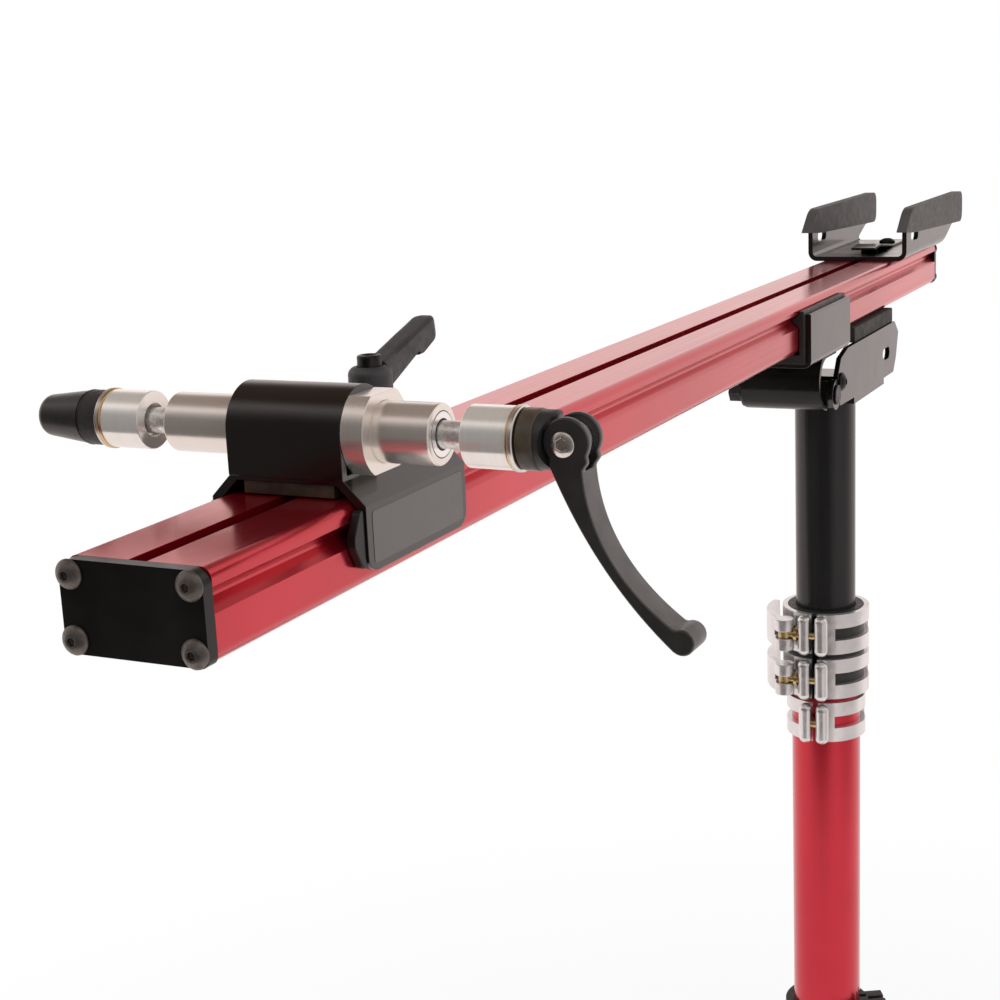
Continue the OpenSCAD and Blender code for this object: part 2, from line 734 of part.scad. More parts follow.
// Cradle for the bottom bracket
cradle_x1 = -cradle_front - 10;
cradle_x0 = cradle_x1 - cradle_base_l;
pad_x0 = -cradle_front - pad_l;
bolt_x = [cradle_x1 - cradle_bolt_in, cradle_x1 - cradle_bolt_in - cradle_bolt_pitch];
rear_hole = [pad_x0 + 18, cradle_h - 7];
front_slot = [-cradle_front - 33, cradle_h - pad_h - 1.5];
module upright_outline() polygon([
    [cradle_x1, 0], [-cradle_front - 3, cradle_h - 11], [-cradle_front - 19, cradle_h], [pad_x0 + 2, cradle_h],
    [pad_x0 + 2, cradle_h - 17], [pad_x0 + 26, 12], [cradle_x0 - 7, 5], [cradle_x0, 0]
]);

module cradle_bracket() color(BLACK) at_beam() difference() {
    intersection() {
        slab_x(pad_x0, cradle_x1) difference() {
            translate([0, cradle_h]) rounded_rect(cradle_w, 2 * cradle_h, cradle_bend);
            translate([0, cradle_h + cradle_t])
                rounded_rect(cradle_w - 2 * cradle_t, 2 * cradle_h, cradle_bend - cradle_t);
        }
        slab_y(-cradle_w, cradle_w) {
            upright_outline();
            translate([cradle_x0, 0]) square([cradle_base_l, cradle_bend]);
        }
    }
    slab_y(-cradle_w, cradle_w) {
        translate(rear_hole) circle(cradle_hole_r);
        translate(front_slot) rounded_rect(cradle_slot_l, 2 * cradle_hole_r, cradle_hole_r * 0.98);
    }
    for (x = bolt_x) translate([x, 0, 0]) rod_z(stud_r + 0.2, -1, cradle_t + 1);
}

// Rubber channel over an upright's top edge
module pad_outline() rounded_poly([
    [-cradle_front, cradle_h - pad_h + 4], [-cradle_front - 18, cradle_h + pad_t], [pad_x0, cradle_h + pad_t],
    [pad_x0, cradle_h + pad_t - pad_rear_h], [-cradle_front - 24, cradle_h - pad_h + 3]
], [1.5, pad_r, pad_r, 3, 1.5]);
module cradle_pad() at_beam() difference() {
    inner = cradle_w / 2 - cradle_t;
    slab_y(inner - pad_t, cradle_w / 2 + pad_t) pad_outline();
    slab_y(inner, cradle_w / 2) upright_outline();
    slab_y(0, cradle_w) translate(rear_hole) circle(cradle_hole_r);
}
module cradle_pads() color(GREY) both_sides() cradle_pad();

module strap_tongue() color(BLACK) at_beam() difference() {
    x = bolt_x[1];
    z = cradle_t;
    flat = tongue_w * 0.85;
    bend = tongue_l * 0.75;
    slab_y(-tongue_w / 2, tongue_w / 2) polygon([
        [x - tongue_back, z], [x + flat, z],
        [x + bend, z + tongue_lift], [x + tongue_l, z + tongue_lift - 1],
        [x + tongue_l, z + tongue_lift - 1 + tongue_t], [x + bend, z + tongue_lift + tongue_t],
        [x + flat, z + tongue_t], [x - tongue_back, z + tongue_t]
    ]);
    translate([x, 0, 0]) rod_z(stud_r + 0.2, 0, z + tongue_t + 1);
}

module cradle_bolts() color(GREY) at_beam() for (i = [0, 1]) translate([bolt_x[i], 0, 0]) {
    nut_w = slot_in_w / 2 - run_gap;
    seat = cradle_t + i * tongue_t;
    translate([0, 0, seat]) button_screw(stud_r, seat + slot_lip + 3, 5.5, 3);
    box(-7, 7, -nut_w, nut_w, -slot_lip - 4.5, -slot_lip);
}

// Hinge under the beam
hinge_in = beam_w / 2 + hinge_liner_t;
hinge_out = hinge_in + hinge_t;
hinge_floor = beam_t + 5;
hinge_low = hinge_floor + hinge_t;
hinge_bolt_x = [hinge_front - 12, hinge_front - 36];
module at_pivot() translate([pivot_x, 0, beam_h - pivot_z]) children();

module hinge_saddle() color(BLACK) at_beam() difference() {
    translate([0, 0, -hinge_top]) slab_x(hinge_back, hinge_front)
        hanging_rect(2 * hinge_out, hinge_low - hinge_top, 1, hinge_bend);
    box(hinge_back - 1, hinge_front + 1, -hinge_in, hinge_in, -hinge_floor, 0);
    for (x = hinge_bolt_x) translate([x, 0, 0]) rod_z(stud_r + 0.2, -hinge_low - 1, -hinge_floor + 1);
}

module hinge_liner() color(GREY) at_beam() difference() {
    slab_x(hinge_back + 1, hinge_front + 4) {
        for (s = [0, 1]) mirror([s, 0]) liner_section(hinge_top - 2, hinge_floor, hinge_in);
        translate([-hinge_in, -hinge_floor]) square([2 * hinge_in, hinge_floor - beam_t]);
    }
    for (x = hinge_bolt_x) translate([x, 0, 0]) rod_z(stud_r + 0.2, -hinge_floor - 1, -beam_t + 1);
}

module hinge_bolts() color(GREY) at_beam() for (x = hinge_bolt_x)
    translate([x, 0, -hinge_low]) rotate([180, 0, 0])
        button_screw(stud_r, hinge_low - beam_t + beam_wall + 1, 5.5, 3);

block_y = yoke_w / 2 - 1 - run_gap;
hinge_bush_r = pivot_r + 1.5;
web_in = 6;
nose_x = pivot_x + nose_ahead;
nose_z = hinge_low + nose_r;
module hinge_block() color(BLACK) difference() {
    union() {
        at_pivot() rod_y(knuckle_r, -block_y, block_y);
        at_beam() {
            box(hinge_back + 5, nose_x, -block_y, block_y, -hinge_low - hinge_t, -hinge_low);
            box(pivot_x - knuckle_r / 2, nose_x, web_in - block_y, block_y - web_in, -pivot_z, -hinge_low - 1);
            slab_y(-block_y, block_y) difference() {
                translate([nose_x, -nose_z]) circle(nose_r);
                translate([nose_x, -nose_z]) circle(nose_r - hinge_t);
                translate([nose_x - 2 * nose_r, -nose_z - 2 * nose_r]) square([2 * nose_r, 4 * nose_r]);
            }
        }
    }
    at_pivot() rod_y(hinge_bush_r, -block_y - 1, block_y + 1);
}

module pivot_bushes() color(GREY) at_pivot() both_sides() difference() {
    union() {
        rod_y(hinge_bush_r, block_y - 12, block_y);
        rod_y(hinge_bush_r + 2, block_y, block_y + 1);
    }
    rod_y(pivot_r + pin_gap, block_y - 13, block_y + 2);
}

cheek_y = yoke_w / 2;
cheek_out = cheek_y + cheek_t;
module cheek_outline() difference() {
    union() {
        translate([pivot_x, -pivot_z]) circle(lug_r);
        polygon([
            [pivot_x - cheek_step * 0.3, -pivot_z + cheek_step],
            [pivot_x - cheek_step, -cheek_top - cheek_step * 0.4],
            [pivot_x - cheek_slope, -cheek_top], [cheek_step - cheek_back, -cheek_top],
            [-cheek_back, -cheek_top - cheek_step * 0.8], [cheek_step * 0.6 - cheek_back, -pivot_z],
            [cheek_slope / 2 - cheek_back, -cheek_edge], [yoke_front - cheek_step * 0.4, -cheek_edge],
            [pivot_x - lug_r * 0.9, -pivot_z - lug_r * 0.9]
        ]);
    }
    translate([cheek_slope + lug_r - cheek_back - 2.5, stop_up - pivot_z])
        rounded_rect(cheek_slot_l, 2 * cheek_hole_r, cheek_hole_r * 0.98);
    translate([pivot_x - stop_back, stop_up - pivot_z]) circle(stud_r + 0.1);
    translate([pivot_x, -pivot_z]) circle(pivot_r + pin_gap);
}

spigot_r = inner_r - inner_wall - 0.1;
module head_yoke() color(BLACK) at_beam() {
    both_sides() slab_y(cheek_y, cheek_out) cheek_outline();
    box(cheek_slope - cheek_back, yoke_front, -cheek_y, cheek_y, -cheek_low, cheek_t - cheek_edge);
    rod_z(spigot_r, -cheek_low - spigot_l, 1 - cheek_low);
}

module rest_pad() color(GREY) at_beam()
    box(cheek_step - cheek_back + 2, rest_front, -cheek_out + 1, cheek_out - 1, -cheek_top, -beam_t - 0.2);

nut_h = 7;
washer_t = 1.5;
head_rim = 1.9;
nut_rim = 2.4;
module pivot_bolt() color(GREY) at_pivot() {
    rod_y(pivot_r, -cheek_out - washer_t - nut_h + 1, cheek_out + 1);
    rod_y(pivot_r + head_rim, cheek_out, cheek_out + 1.2);
}

module pivot_nut() color(BLACK) at_pivot() translate([0, -cheek_out, 0]) rotate([90, 0, 0]) difference() {
    union() {
        cylinder(r = pivot_r + nut_rim, h = washer_t);
        translate([0, 0, washer_t]) cylinder(r = pivot_r + nut_rim, h = nut_h, $fn = 6);
    }
    translate([0, 0, -1]) cylinder(r = pivot_r, h = washer_t + nut_h);
}

module stop_bolt() color(BLACK) at_pivot() translate([-stop_back, 0, stop_up]) {
    rod_y(stud_r, -cheek_out - 2, cheek_out);
    translate([0, cheek_out, 0]) rotate([-90, 0, 0]) button_screw(stud_r - 0.5, 2, stud_r + 2.5, 3.4);
    translate([0, -cheek_out, 0]) rotate([90, 0, 0]) cylinder(r = stud_r + head_rim, h = 4.5, $fn = 6);
}

// Telescopic mast
inner_top = beam_h - cheek_low;
inner_low = inner_top - inner_l;
outer_in = outer_r - outer_wall;
module inner_tube() color(BLACK) ring_z(inner_r, inner_r - inner_wall, inner_low, inner_top);

module glide_bush() color(GREY) difference() {
    rod_z(outer_in - tube_gap, inner_low - 8, inner_low + bush_l);
    rod_z(inner_r + tube_gap, inner_low, inner_low + bush_l + 1);
    rod_z(inner_r - 4, inner_low - 9, inner_low + 1);
}

band_drop = 0.4;
band_z = [for (i = [0:2]) clamp_h - band_drop - i * (band_h + band_gap) - band_h / 2];
outer_top = band_z[2] + band_h / 2 + band_gap / 2;
module outer_tube() color(RED) ring_z(outer_r, outer_in, outer_low, outer_top);

module tube_plug() color(BLACK) {
    rod_z(outer_in, outer_low, outer_low + 20);
    rod_z(outer_r + 1, outer_low - 6, outer_low);
}

// Mast clamp: split sleeve, three bands, bolts with cam levers
module clamp_sleeve() color(BLACK) difference() {
    union() {
        rod_z(sleeve_r, outer_top, clamp_h);
        rod_z(outer_in, outer_top - 35, outer_top);
    }
    rod_z(inner_r + tube_gap, outer_top - 40, clamp_h + 1);
    box(0, sleeve_r + 1, -slit_w / 2, slit_w / 2, outer_top - 40, clamp_h - sleeve_ring_h);
}

band_r = [sleeve_r, sleeve_r, outer_r];
ear_flat = 0.8;
ear_y = slit_w / 2 + ear_r - ear_flat;
bolt_r = 2.5;
ear_stand = 3;
ear_out = ear_y + ear_r;
pin_end = ear_y + 1;
function ear_x(i) = band_r[i] + band_t + ear_stand;

// Ear with round ends
module clamp_ear() rotate_extrude() intersection() {
    rounded_rect(2 * ear_r, band_h, ear_r * 0.9);
    translate([0, -band_h]) square([2 * ear_r, 2 * band_h]);
}

module clamp_band(i) {
    r = band_r[i];
    x = ear_x(i);
    translate([0, 0, band_z[i]]) difference() {
        union() {
            ring_z(r + band_t, r, -band_h / 2, band_h / 2);
            both_sides() translate([x, ear_y, 0]) clamp_ear();
        }
        rod_z(r, -band_h, band_h);
        box(0, x + ear_r + 1, -slit_w / 2, slit_w / 2, -band_h, band_h);
        both_sides() rotate(28) box(0, r + band_t + 1, 0, r + band_t + 1, -window_h / 2, window_h / 2);
        translate([x, 0, 0]) rod_y(bolt_r + 0.1, i < 2 ? -20 : -pin_end - 0.1, pin_end + 0.1);
    }
}
module clamp_bands() color(CHROME) for (i = [0:2]) clamp_band(i);

// Bolts across a slit between ears that reach out to half, with a hex head on the left
bolt_hex_r = 4.3;
bolt_hex_h = 4;
module headed_bolt(half, end_y) {
    rod_y(bolt_r, end_y, half + bolt_hex_h - 1);
    translate([0, half, 0]) rotate([-90, 0, 0]) cylinder(r = bolt_hex_r, h = bolt_hex_h, $fn = 6);
}

// The same with a washer stack and an eye for a cam lever on the right
wrap_cam_r = 6.2;
wrap_pin_r = 1.5;
wrap_eye_t = 4.4;
wrap_washer = 2;
eye_room = wrap_cam_r + cam_gap;
function wrap_pivot(half) = -half - wrap_washer - eye_room;
module cam_bolt(half, headed) difference() {
    y = wrap_pivot(half);
    union() {
        if (headed) headed_bolt(half, y);
        else rod_y(bolt_r, y, pin_end);
        ring_y(bolt_hex_r, bolt_r - 0.5, y + eye_room, -half);
        translate([0, y, 0]) rod_z(wrap_pin_r + 2.5, -wrap_eye_t / 2, wrap_eye_t / 2);
    }
    translate([0, y, 0]) {
        rod_z(wrap_pin_r + pin_gap, -wrap_eye_t, wrap_eye_t);
        for (s = [0, 1]) mirror([0, 0, s])
            box(-eye_room, eye_room, -eye_room, eye_room, wrap_eye_t / 2, wrap_eye_t);
    }
}

// Cam lever that lies round the mast, its pivot at the distance x and beside ears that reach out to half
wrap_in = 2;
wrap_out = 2.2;
module wrap_lever(x, half) {
    y = wrap_pivot(half);
    r = sqrt(x * x + y * y);
    start = atan2(y, x);
    slot = wrap_eye_t / 2 + run_gap;
    difference() {
        linear_extrude(band_h - 6, center = true) {
            translate([x, y]) circle(wrap_cam_r);
            intersection() {
                difference() {
                    circle(r + wrap_out);
                    circle(r - wrap_in);
                }
                polygon([
                    [0, 0], for (a = [0:0.25:1]) 1.6 * r * [
                        cos(start - a * clamp_lever_span), sin(start - a * clamp_lever_span)
                    ]
                ]);
            }
        }
        translate([x, y, 0]) difference() {
            rod_z(eye_room + 1, -slot, slot);
            rod_z(wrap_pin_r, -slot, slot);
        }
    }
}

module clamp_bolts() color(GREY) for (i = [0:2]) translate([ear_x(i), 0, band_z[i]])
    if (i < 2) cam_bolt(ear_out, false);
    else rod_y(bolt_r, -pin_end, pin_end);
module turn_lever() color(CHROME) translate([0, 0, band_z[0]]) wrap_lever(ear_x(0), ear_out);
module height_lever() color(CHROME) translate([0, 0, band_z[1]]) wrap_lever(ear_x(1), ear_out);

// Tripod: the legs hang from the sliding collar, and the struts tie them to the lower hub
leg_at = [60, 180, 300];
slide_h = hub_h + 2 * strut_l * cos(leg_angle);
leg_l = (slide_h - foot_h) / cos(leg_angle);
bar_in = leg_r + 2 * run_gap;
bar_out = bar_in + bar_t;
lug_w = leg_r - run_gap;

module around() for (a = leg_at) rotate(a) children();

module lower_hub() color(BLACK) difference() {
    union() {
        rod_z(hub_r, hub_h - hub_t / 2 - 4, hub_h + hub_t / 2 - 4);
        around() {
            box(0, pin_reach, -lug_w, lug_w, hub_h - 9, hub_h + 9);
            translate([pin_reach, 0, hub_h]) rod_y(9, -lug_w, lug_w);
        }
    }
    rod_z(outer_r, hub_h - hub_t, hub_h + hub_t);
    around() translate([pin_reach, 0, hub_h]) rod_y(pin_r, -lug_w - 1, lug_w + 1);
}

module headed_pin(half) {
    rod_y(pin_r, -half, half);
    both_sides() rod_y(pin_r + 2, half, half + 2);
}
module hub_pins() color(ALU) around() translate([pin_reach, 0, hub_h]) headed_pin(bar_out + run_gap);

// The collar's clamp sits above the legs
collar_at = 120;
collar_ear = 9;
collar_ear_h = 20;
collar_bolt_x = hub_r + 6;
clamp_z = slide_h + slide_up - collar_ear_h / 2 - 2;
module sliding_collar() color(BLACK) difference() {
    low = slide_h - slide_low;
    top = slide_h + slide_up;
    union() {
        rod_z(hub_r, low, top);
        around() both_sides() {
            box(0, pin_reach, bar_in, bar_in + lug_t, slide_h - lug_h, slide_h + lug_h);
            translate([pin_reach, 0, slide_h]) rod_y(lug_h, bar_in, bar_in + lug_t);
        }
        rotate(collar_at) translate([0, 0, clamp_z])
            box(outer_r + 1, collar_bolt_x + 6, -collar_ear, collar_ear, -collar_ear_h / 2, collar_ear_h / 2);
    }
    rod_z(outer_r + tube_gap, low - 1, top + 1);
    around() translate([pin_reach, 0, slide_h]) rod_y(pin_r, -2 * bar_in, 2 * bar_in);
    around() box(hub_r, pin_reach + lug_h + 2, -bar_in, bar_in, low - 1, slide_h + 2 * lug_h);
    rotate(collar_at) {
        box(0, collar_bolt_x + 7, -slit_w / 2, slit_w / 2, low - 1, top + 1);
        translate([collar_bolt_x, 0, clamp_z]) rod_y(bolt_r + pin_gap, -2 * collar_ear, 2 * collar_ear);
    }
}
module collar_pins() color(ALU) around() translate([pin_reach, 0, slide_h]) headed_pin(bar_in + lug_t);

module at_collar_clamp() rotate(collar_at) translate([0, 0, clamp_z]) children();
module collar_bolt() color(ALU) at_collar_clamp() translate([collar_bolt_x, 0, 0]) cam_bolt(collar_ear, true);
module collar_lever() color(BLACK) at_collar_clamp() wrap_lever(collar_bolt_x, collar_ear);

module on_leg(k) rotate(leg_at[k]) translate([pin_reach, 0, slide_h])
    rotate([0, 180 - leg_angle, 0]) children();

module leg(k) color(RED) on_leg(k) difference() {
    ring_z(leg_r, leg_r - leg_wall, -leg_over, leg_l);
    for (z = [0, strut_l]) translate([0, 0, z]) rod_y(pin_r + pin_gap, -leg_r - 1, leg_r + 1);
}

module bar_outline() difference() {
    union() {
        translate([-bar_w / 2, 0]) square([bar_w, strut_l]);
        for (z = [0, strut_l]) translate([0, z]) circle(bar_w / 2);
    }
    circle(pin_r + pin_gap);
}
module strut(k) color(BLACK) rotate(leg_at[k]) translate([pin_reach, 0, hub_h]) rotate([0, leg_angle, 0]) {
    both_sides() slab_y(bar_in, bar_out) bar_outline();
    translate([0, 0, strut_l]) {
        rod_y(pin_r, -bar_out, bar_out);
        both_sides() rod_y(pin_r + 2, bar_out, bar_out + 2);
    }
}

// Rubber boot on a leg, with a round end that is cut level where it stands on the floor
module foot(k) color(BLACK) intersection() {
    on_leg(k) difference() {
        union() {
            rod_z(leg_r + foot_t, leg_l - foot_l, leg_l);
            translate([0, 0, leg_l]) sphere(foot_r);
        }
        rod_z(leg_r, leg_l - foot_l - 1, leg_l);
    }
    rod_z(2 * leg_l, 0, slide_h);
}

beam_rail();
end_plates();
end_plate_screws();
axle_saddle();
saddle_liners();
glide_block();
axle_barrel();
barrel_inserts();
flanged_bush();
clamp_sleeve_right();
grip_ring_right();
seat_spacer();
cam_seat();
skewer();
clamp_sleeve_left();
grip_ring_left();
skewer_nut();
cam_lever();
cam_screw();
slot_stud();
clamping_handle();
handle_screw();
cradle_bracket();
cradle_pads();
strap_tongue();
cradle_bolts();
hinge_saddle();
hinge_liner();
hinge_block();
hinge_bolts();
pivot_bushes();
head_yoke();
rest_pad();
pivot_bolt();
pivot_nut();
stop_bolt();
inner_tube();
glide_bush();
outer_tube();
tube_plug();
clamp_sleeve();
clamp_bands();
clamp_bolts();
turn_lever();
height_lever();
lower_hub();
hub_pins();
sliding_collar();
collar_pins();
collar_bolt();
collar_lever();
leg(0);  // leg_1
leg(1);  // leg_2
leg(2);  // leg_3
strut(0);  // strut_1
strut(1);  // strut_2
strut(2);  // strut_3
foot(0);  // foot_1
foot(1);  // foot_2
foot(2);  // foot_3
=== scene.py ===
import json
import math

import bmesh
import bpy
import numpy as np
from mathutils import Matrix, Vector


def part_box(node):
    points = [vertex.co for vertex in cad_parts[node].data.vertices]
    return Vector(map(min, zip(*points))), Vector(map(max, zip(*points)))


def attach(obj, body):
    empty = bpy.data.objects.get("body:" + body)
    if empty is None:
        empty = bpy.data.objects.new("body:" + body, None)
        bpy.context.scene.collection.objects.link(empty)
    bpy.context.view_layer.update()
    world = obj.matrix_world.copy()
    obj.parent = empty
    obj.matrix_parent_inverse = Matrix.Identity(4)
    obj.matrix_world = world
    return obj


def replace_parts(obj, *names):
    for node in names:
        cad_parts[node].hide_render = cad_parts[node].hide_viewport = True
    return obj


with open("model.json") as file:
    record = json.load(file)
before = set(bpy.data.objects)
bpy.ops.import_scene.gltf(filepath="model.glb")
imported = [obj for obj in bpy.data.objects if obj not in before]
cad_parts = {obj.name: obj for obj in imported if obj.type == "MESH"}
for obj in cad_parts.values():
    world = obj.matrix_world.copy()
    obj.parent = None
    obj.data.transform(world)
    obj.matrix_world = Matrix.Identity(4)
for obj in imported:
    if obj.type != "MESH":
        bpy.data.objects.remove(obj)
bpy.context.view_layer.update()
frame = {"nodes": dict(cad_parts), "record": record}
scene = bpy.context.scene
scene.view_settings.view_transform = "Standard"

# Tripod: three red anodised tube legs hang from a sliding collar, and flat black struts tie them to the
# lower hub. Moulded rubber feet are pushed over the legs' ends. Hub and collar are moulded nylon.
MM = 0.001
MERGE = 0.002 * MM
FLAT_ANGLE = math.radians(0.3)
SHARP_ANGLE = math.radians(32)
record = frame["record"]
body_of = {node: body for body, members in record["behaviour"]["bodies"].items() for node in members}


def finish(name, colour, metallic, roughness, ior=1.5):
    """Material with one shader, its plain values set on the shader's own sockets."""
    material = bpy.data.materials.new(name)
    material.use_nodes = True
    shader = material.node_tree.nodes["Principled BSDF"]
    shader.inputs["Base Color"].default_value = (*colour, 1.0)
    shader.inputs["Metallic"].default_value = metallic
    shader.inputs["Roughness"].default_value = roughness
    shader.inputs["IOR"].default_value = ior
    return material


def noise(material, cells, detail=2.0):
    """Noise on the piece's own coordinates, with a number of cells per metre along X, Y and Z."""
    tree = material.node_tree
    place = tree.nodes.new("ShaderNodeTexCoord")
    stretch = tree.nodes.new("ShaderNodeMapping")
    stretch.inputs["Scale"].default_value = cells
    cloud = tree.nodes.new("ShaderNodeTexNoise")
    cloud.inputs["Scale"].default_value = 1.0
    cloud.inputs["Detail"].default_value = detail
    tree.links.new(place.outputs["Object"], stretch.inputs["Vector"])
    tree.links.new(stretch.outputs["Vector"], cloud.inputs["Vector"])
    return cloud.outputs["Fac"]


def spread(material, source, low, high, start=0.35, end=0.65):
    """Carries a source's values between start and end to the range from low to high."""
    tree = material.node_tree
    ramp = tree.nodes.new("ShaderNodeMapRange")
    ramp.inputs["From Min"].default_value = start
    ramp.inputs["From Max"].default_value = end
    ramp.inputs["To Min"].default_value = low
    ramp.inputs["To Max"].default_value = high
    tree.links.new(source, ramp.inputs["Value"])
    return ramp.outputs["Result"]


def sheen(material, source, low, high):
    """The roughness follows a noise between two values, as on a surface that has been handled."""
    tree = material.node_tree
    tree.links.new(spread(material, source, low, high), tree.nodes["Principled BSDF"].inputs["Roughness"])


def tint(material, source, first, second, start=0.35, end=0.65):
    """The colour goes from the first to the second as a source goes from start to end."""
    tree = material.node_tree
    blend = tree.nodes.new("ShaderNodeMix")
    blend.data_type = "RGBA"
    blend.inputs["A"].default_value = (*first, 1.0)
    blend.inputs["B"].default_value = (*second, 1.0)
    tree.links.new(spread(material, source, 0.0, 1.0, start, end), blend.inputs["Factor"])
    tree.links.new(blend.outputs["Result"], tree.nodes["Principled BSDF"].inputs["Base Color"])


def relief(material, source, depth):
    """Fine relief of that depth in metres, by the shader's normal alone."""
    tree = material.node_tree
    bump = tree.nodes.new("ShaderNodeBump")
    bump.inputs["Distance"].default_value = depth
    tree.links.new(source, bump.inputs["Height"])
    tree.links.new(bump.outputs["Normal"], tree.nodes["Principled BSDF"].inputs["Normal"])


def form(name, node, shape, material, edge, steps=2):
    """A piece made of a bmesh, on the body of a node, its sharp edges rounded by edge metres."""
    mesh = bpy.data.meshes.new(name)
    shape.to_mesh(mesh)
    shape.free()
    mesh.polygons.foreach_set("use_smooth", np.ones(len(mesh.polygons), bool))
    mesh.materials.append(material)
    piece = bpy.data.objects.new(name, mesh)
    scene.collection.objects.link(piece)
    rounding = piece.modifiers.new("edges", "BEVEL")
    rounding.width = edge
    rounding.segments = steps
    rounding.limit_method = "ANGLE"
    rounding.angle_limit = SHARP_ANGLE
    flats = piece.modifiers.new("flats", "WEIGHTED_NORMAL")
    flats.weight = 100
    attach(piece, body_of[node])
    return piece


def stand_in(node, shape, material, edge, steps=2):
    """A form that takes the place of a CAD node."""
    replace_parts(form(node + "_form", node, shape, material, edge, steps), node)


def dress(node, material, edge, steps=2):
    """Stands for a CAD node: its triangles joined to whole faces, its sharp edges rounded by edge metres."""
    shape = bmesh.new()
    shape.from_mesh(frame["nodes"][node].data)
    bmesh.ops.remove_doubles(shape, verts=shape.verts, dist=MERGE)
    bmesh.ops.dissolve_limit(shape, angle_limit=FLAT_ANGLE, verts=shape.verts, edges=shape.edges)
    stand_in(node, shape, material, edge, steps)


rubber = finish("foot_rubber", (0.022, 0.021, 0.021), 0.0, 0.72)
tint(rubber, noise(rubber, (40, 40, 40), 4), (0.019, 0.018, 0.018), (0.034, 0.032, 0.030))
sheen(rubber, noise(rubber, (160, 160, 160)), 0.62, 0.8)
relief(rubber, noise(rubber, (1500, 1500, 1500)), 0.05 * MM)

RED = (0.62, 0.014, 0.036)
DEEP_RED = (0.51, 0.009, 0.025)


def anodised(name, cells):
    """Red dyed aluminium: drawing lines along the piece's length and a slow change in the dye's depth.
    The clear oxide over the dye is the shader's coat."""
    material = finish(name, RED, 0.85, 0.26)
    shader = material.node_tree.nodes["Principled BSDF"]
    shader.inputs["Coat Weight"].default_value = 0.5
    shader.inputs["Coat Roughness"].default_value = 0.16
    shader.inputs["Coat IOR"].default_value = 1.6
    tint(material, noise(material, (9, 9, 9), 3), RED, DEEP_RED)
    sheen(material, noise(material, cells, 3), 0.2, 0.26)
    relief(material, noise(material, cells, 2), 0.0006 * MM)
    return material


red_leg = anodised("red_anodised_leg", (700, 700, 60))

nylon = finish("black_nylon", (0.014, 0.0135, 0.0135), 0.0, 0.42)
tint(nylon, noise(nylon, (30, 30, 30), 3), (0.011, 0.0108, 0.011), (0.020, 0.019, 0.019))
sheen(nylon, noise(nylon, (220, 220, 220)), 0.36, 0.5)
relief(nylon, noise(nylon, (1900, 1900, 1900)), 0.03 * MM)

black_paint = finish("black_powder_coat", (0.003, 0.0027, 0.0026), 0.0, 0.16, 1.75)
tint(black_paint, noise(black_paint, (22, 22, 22), 3), (0.0025, 0.0023, 0.0022), (0.005, 0.0047, 0.0045))
sheen(black_paint, noise(black_paint, (60, 60, 60), 3), 0.12, 0.2)
relief(black_paint, noise(black_paint, (420, 420, 420)), 0.004 * MM)

steel = finish("zinc_steel", (0.52, 0.51, 0.49), 1.0, 0.3)
tint(steel, noise(steel, (300, 300, 300), 3), (0.56, 0.55, 0.53), (0.44, 0.43, 0.41))
sheen(steel, noise(steel, (500, 500, 500)), 0.24, 0.4)

for number in (1, 2, 3):
    dress(f"foot_{number}", rubber, 0.8 * MM)
    dress(f"leg_{number}", red_leg, 0.4 * MM)
    dress(f"strut_{number}", black_paint, 0.4 * MM)
for node in ("lower_hub", "sliding_collar", "collar_lever"):
    dress(node, nylon, 1.0 * MM)
for node in ("hub_pins", "collar_pins", "collar_bolt"):
    dress(node, steel, 0.3 * MM)

# Mast: a red outer tube, closed below by a plug, and a black inner tube that slides and turns in it on a
# hidden glide bush. The drawing lines run up the tubes.
red_tube = anodised("red_anodised_tube", (800, 800, 5))
black_tube = finish("black_anodised_tube", (0.010, 0.0098, 0.010), 0.0, 0.16, 1.45)
tint(black_tube, noise(black_tube, (60, 60, 6), 3), (0.008, 0.008, 0.0082), (0.016, 0.0155, 0.0155))
sheen(black_tube, noise(black_tube, (700, 700, 8), 3), 0.13, 0.22)
dress("outer_tube", red_tube, 0.4 * MM)
dress("tube_plug", nylon, 0.8 * MM)
dress("inner_tube", black_tube, 0.4 * MM)
dress("glide_bush", nylon, 0.5 * MM)

# Mast clamp: a split nylon sleeve under three chromed bands with rolled ears, and plated bolts across the
# slit. Two cam levers lie round the mast, one for the mast's turn and one for its height.
chrome = finish("clamp_chrome", (0.78, 0.77, 0.77), 0.85, 0.18)
tint(chrome, noise(chrome, (60, 60, 60), 2), (0.80, 0.79, 0.79), (0.72, 0.71, 0.71))
sheen(chrome, noise(chrome, (200, 200, 200), 2), 0.17, 0.25)
brass_plate = finish("yellow_plated_steel", (0.70, 0.52, 0.22), 1.0, 0.25)
tint(brass_plate, noise(brass_plate, (400, 400, 400), 3), (0.74, 0.56, 0.26), (0.52, 0.40, 0.20))
sheen(brass_plate, noise(brass_plate, (700, 700, 700)), 0.2, 0.36)
dress("clamp_sleeve", nylon, 0.8 * MM)
dress("clamp_bands", chrome, 2.0 * MM, 4)
dress("clamp_bolts", brass_plate, 0.3 * MM)
for node in ("turn_lever", "height_lever"):
    dress(node, chrome, 1.2 * MM, 3)

# Mast head: a yoke of two pressed cheeks on a spigot, a rubber rest for the beam, the pivot bolt with its
# nut, and the bolt that stops the beam level.
black_steel = finish("black_oxide_steel", (0.045, 0.045, 0.048), 1.0, 0.38)
tint(black_steel, noise(black_steel, (250, 250, 250), 3), (0.055, 0.055, 0.058), (0.034, 0.033, 0.035))
sheen(black_steel, noise(black_steel, (600, 600, 600)), 0.3, 0.46)
dress("head_yoke", black_paint, 0.7 * MM)
dress("rest_pad", rubber, 0.8 * MM)
for node in ("pivot_bolt", "pivot_nut", "stop_bolt"):
    dress(node, black_steel, 0.4 * MM)

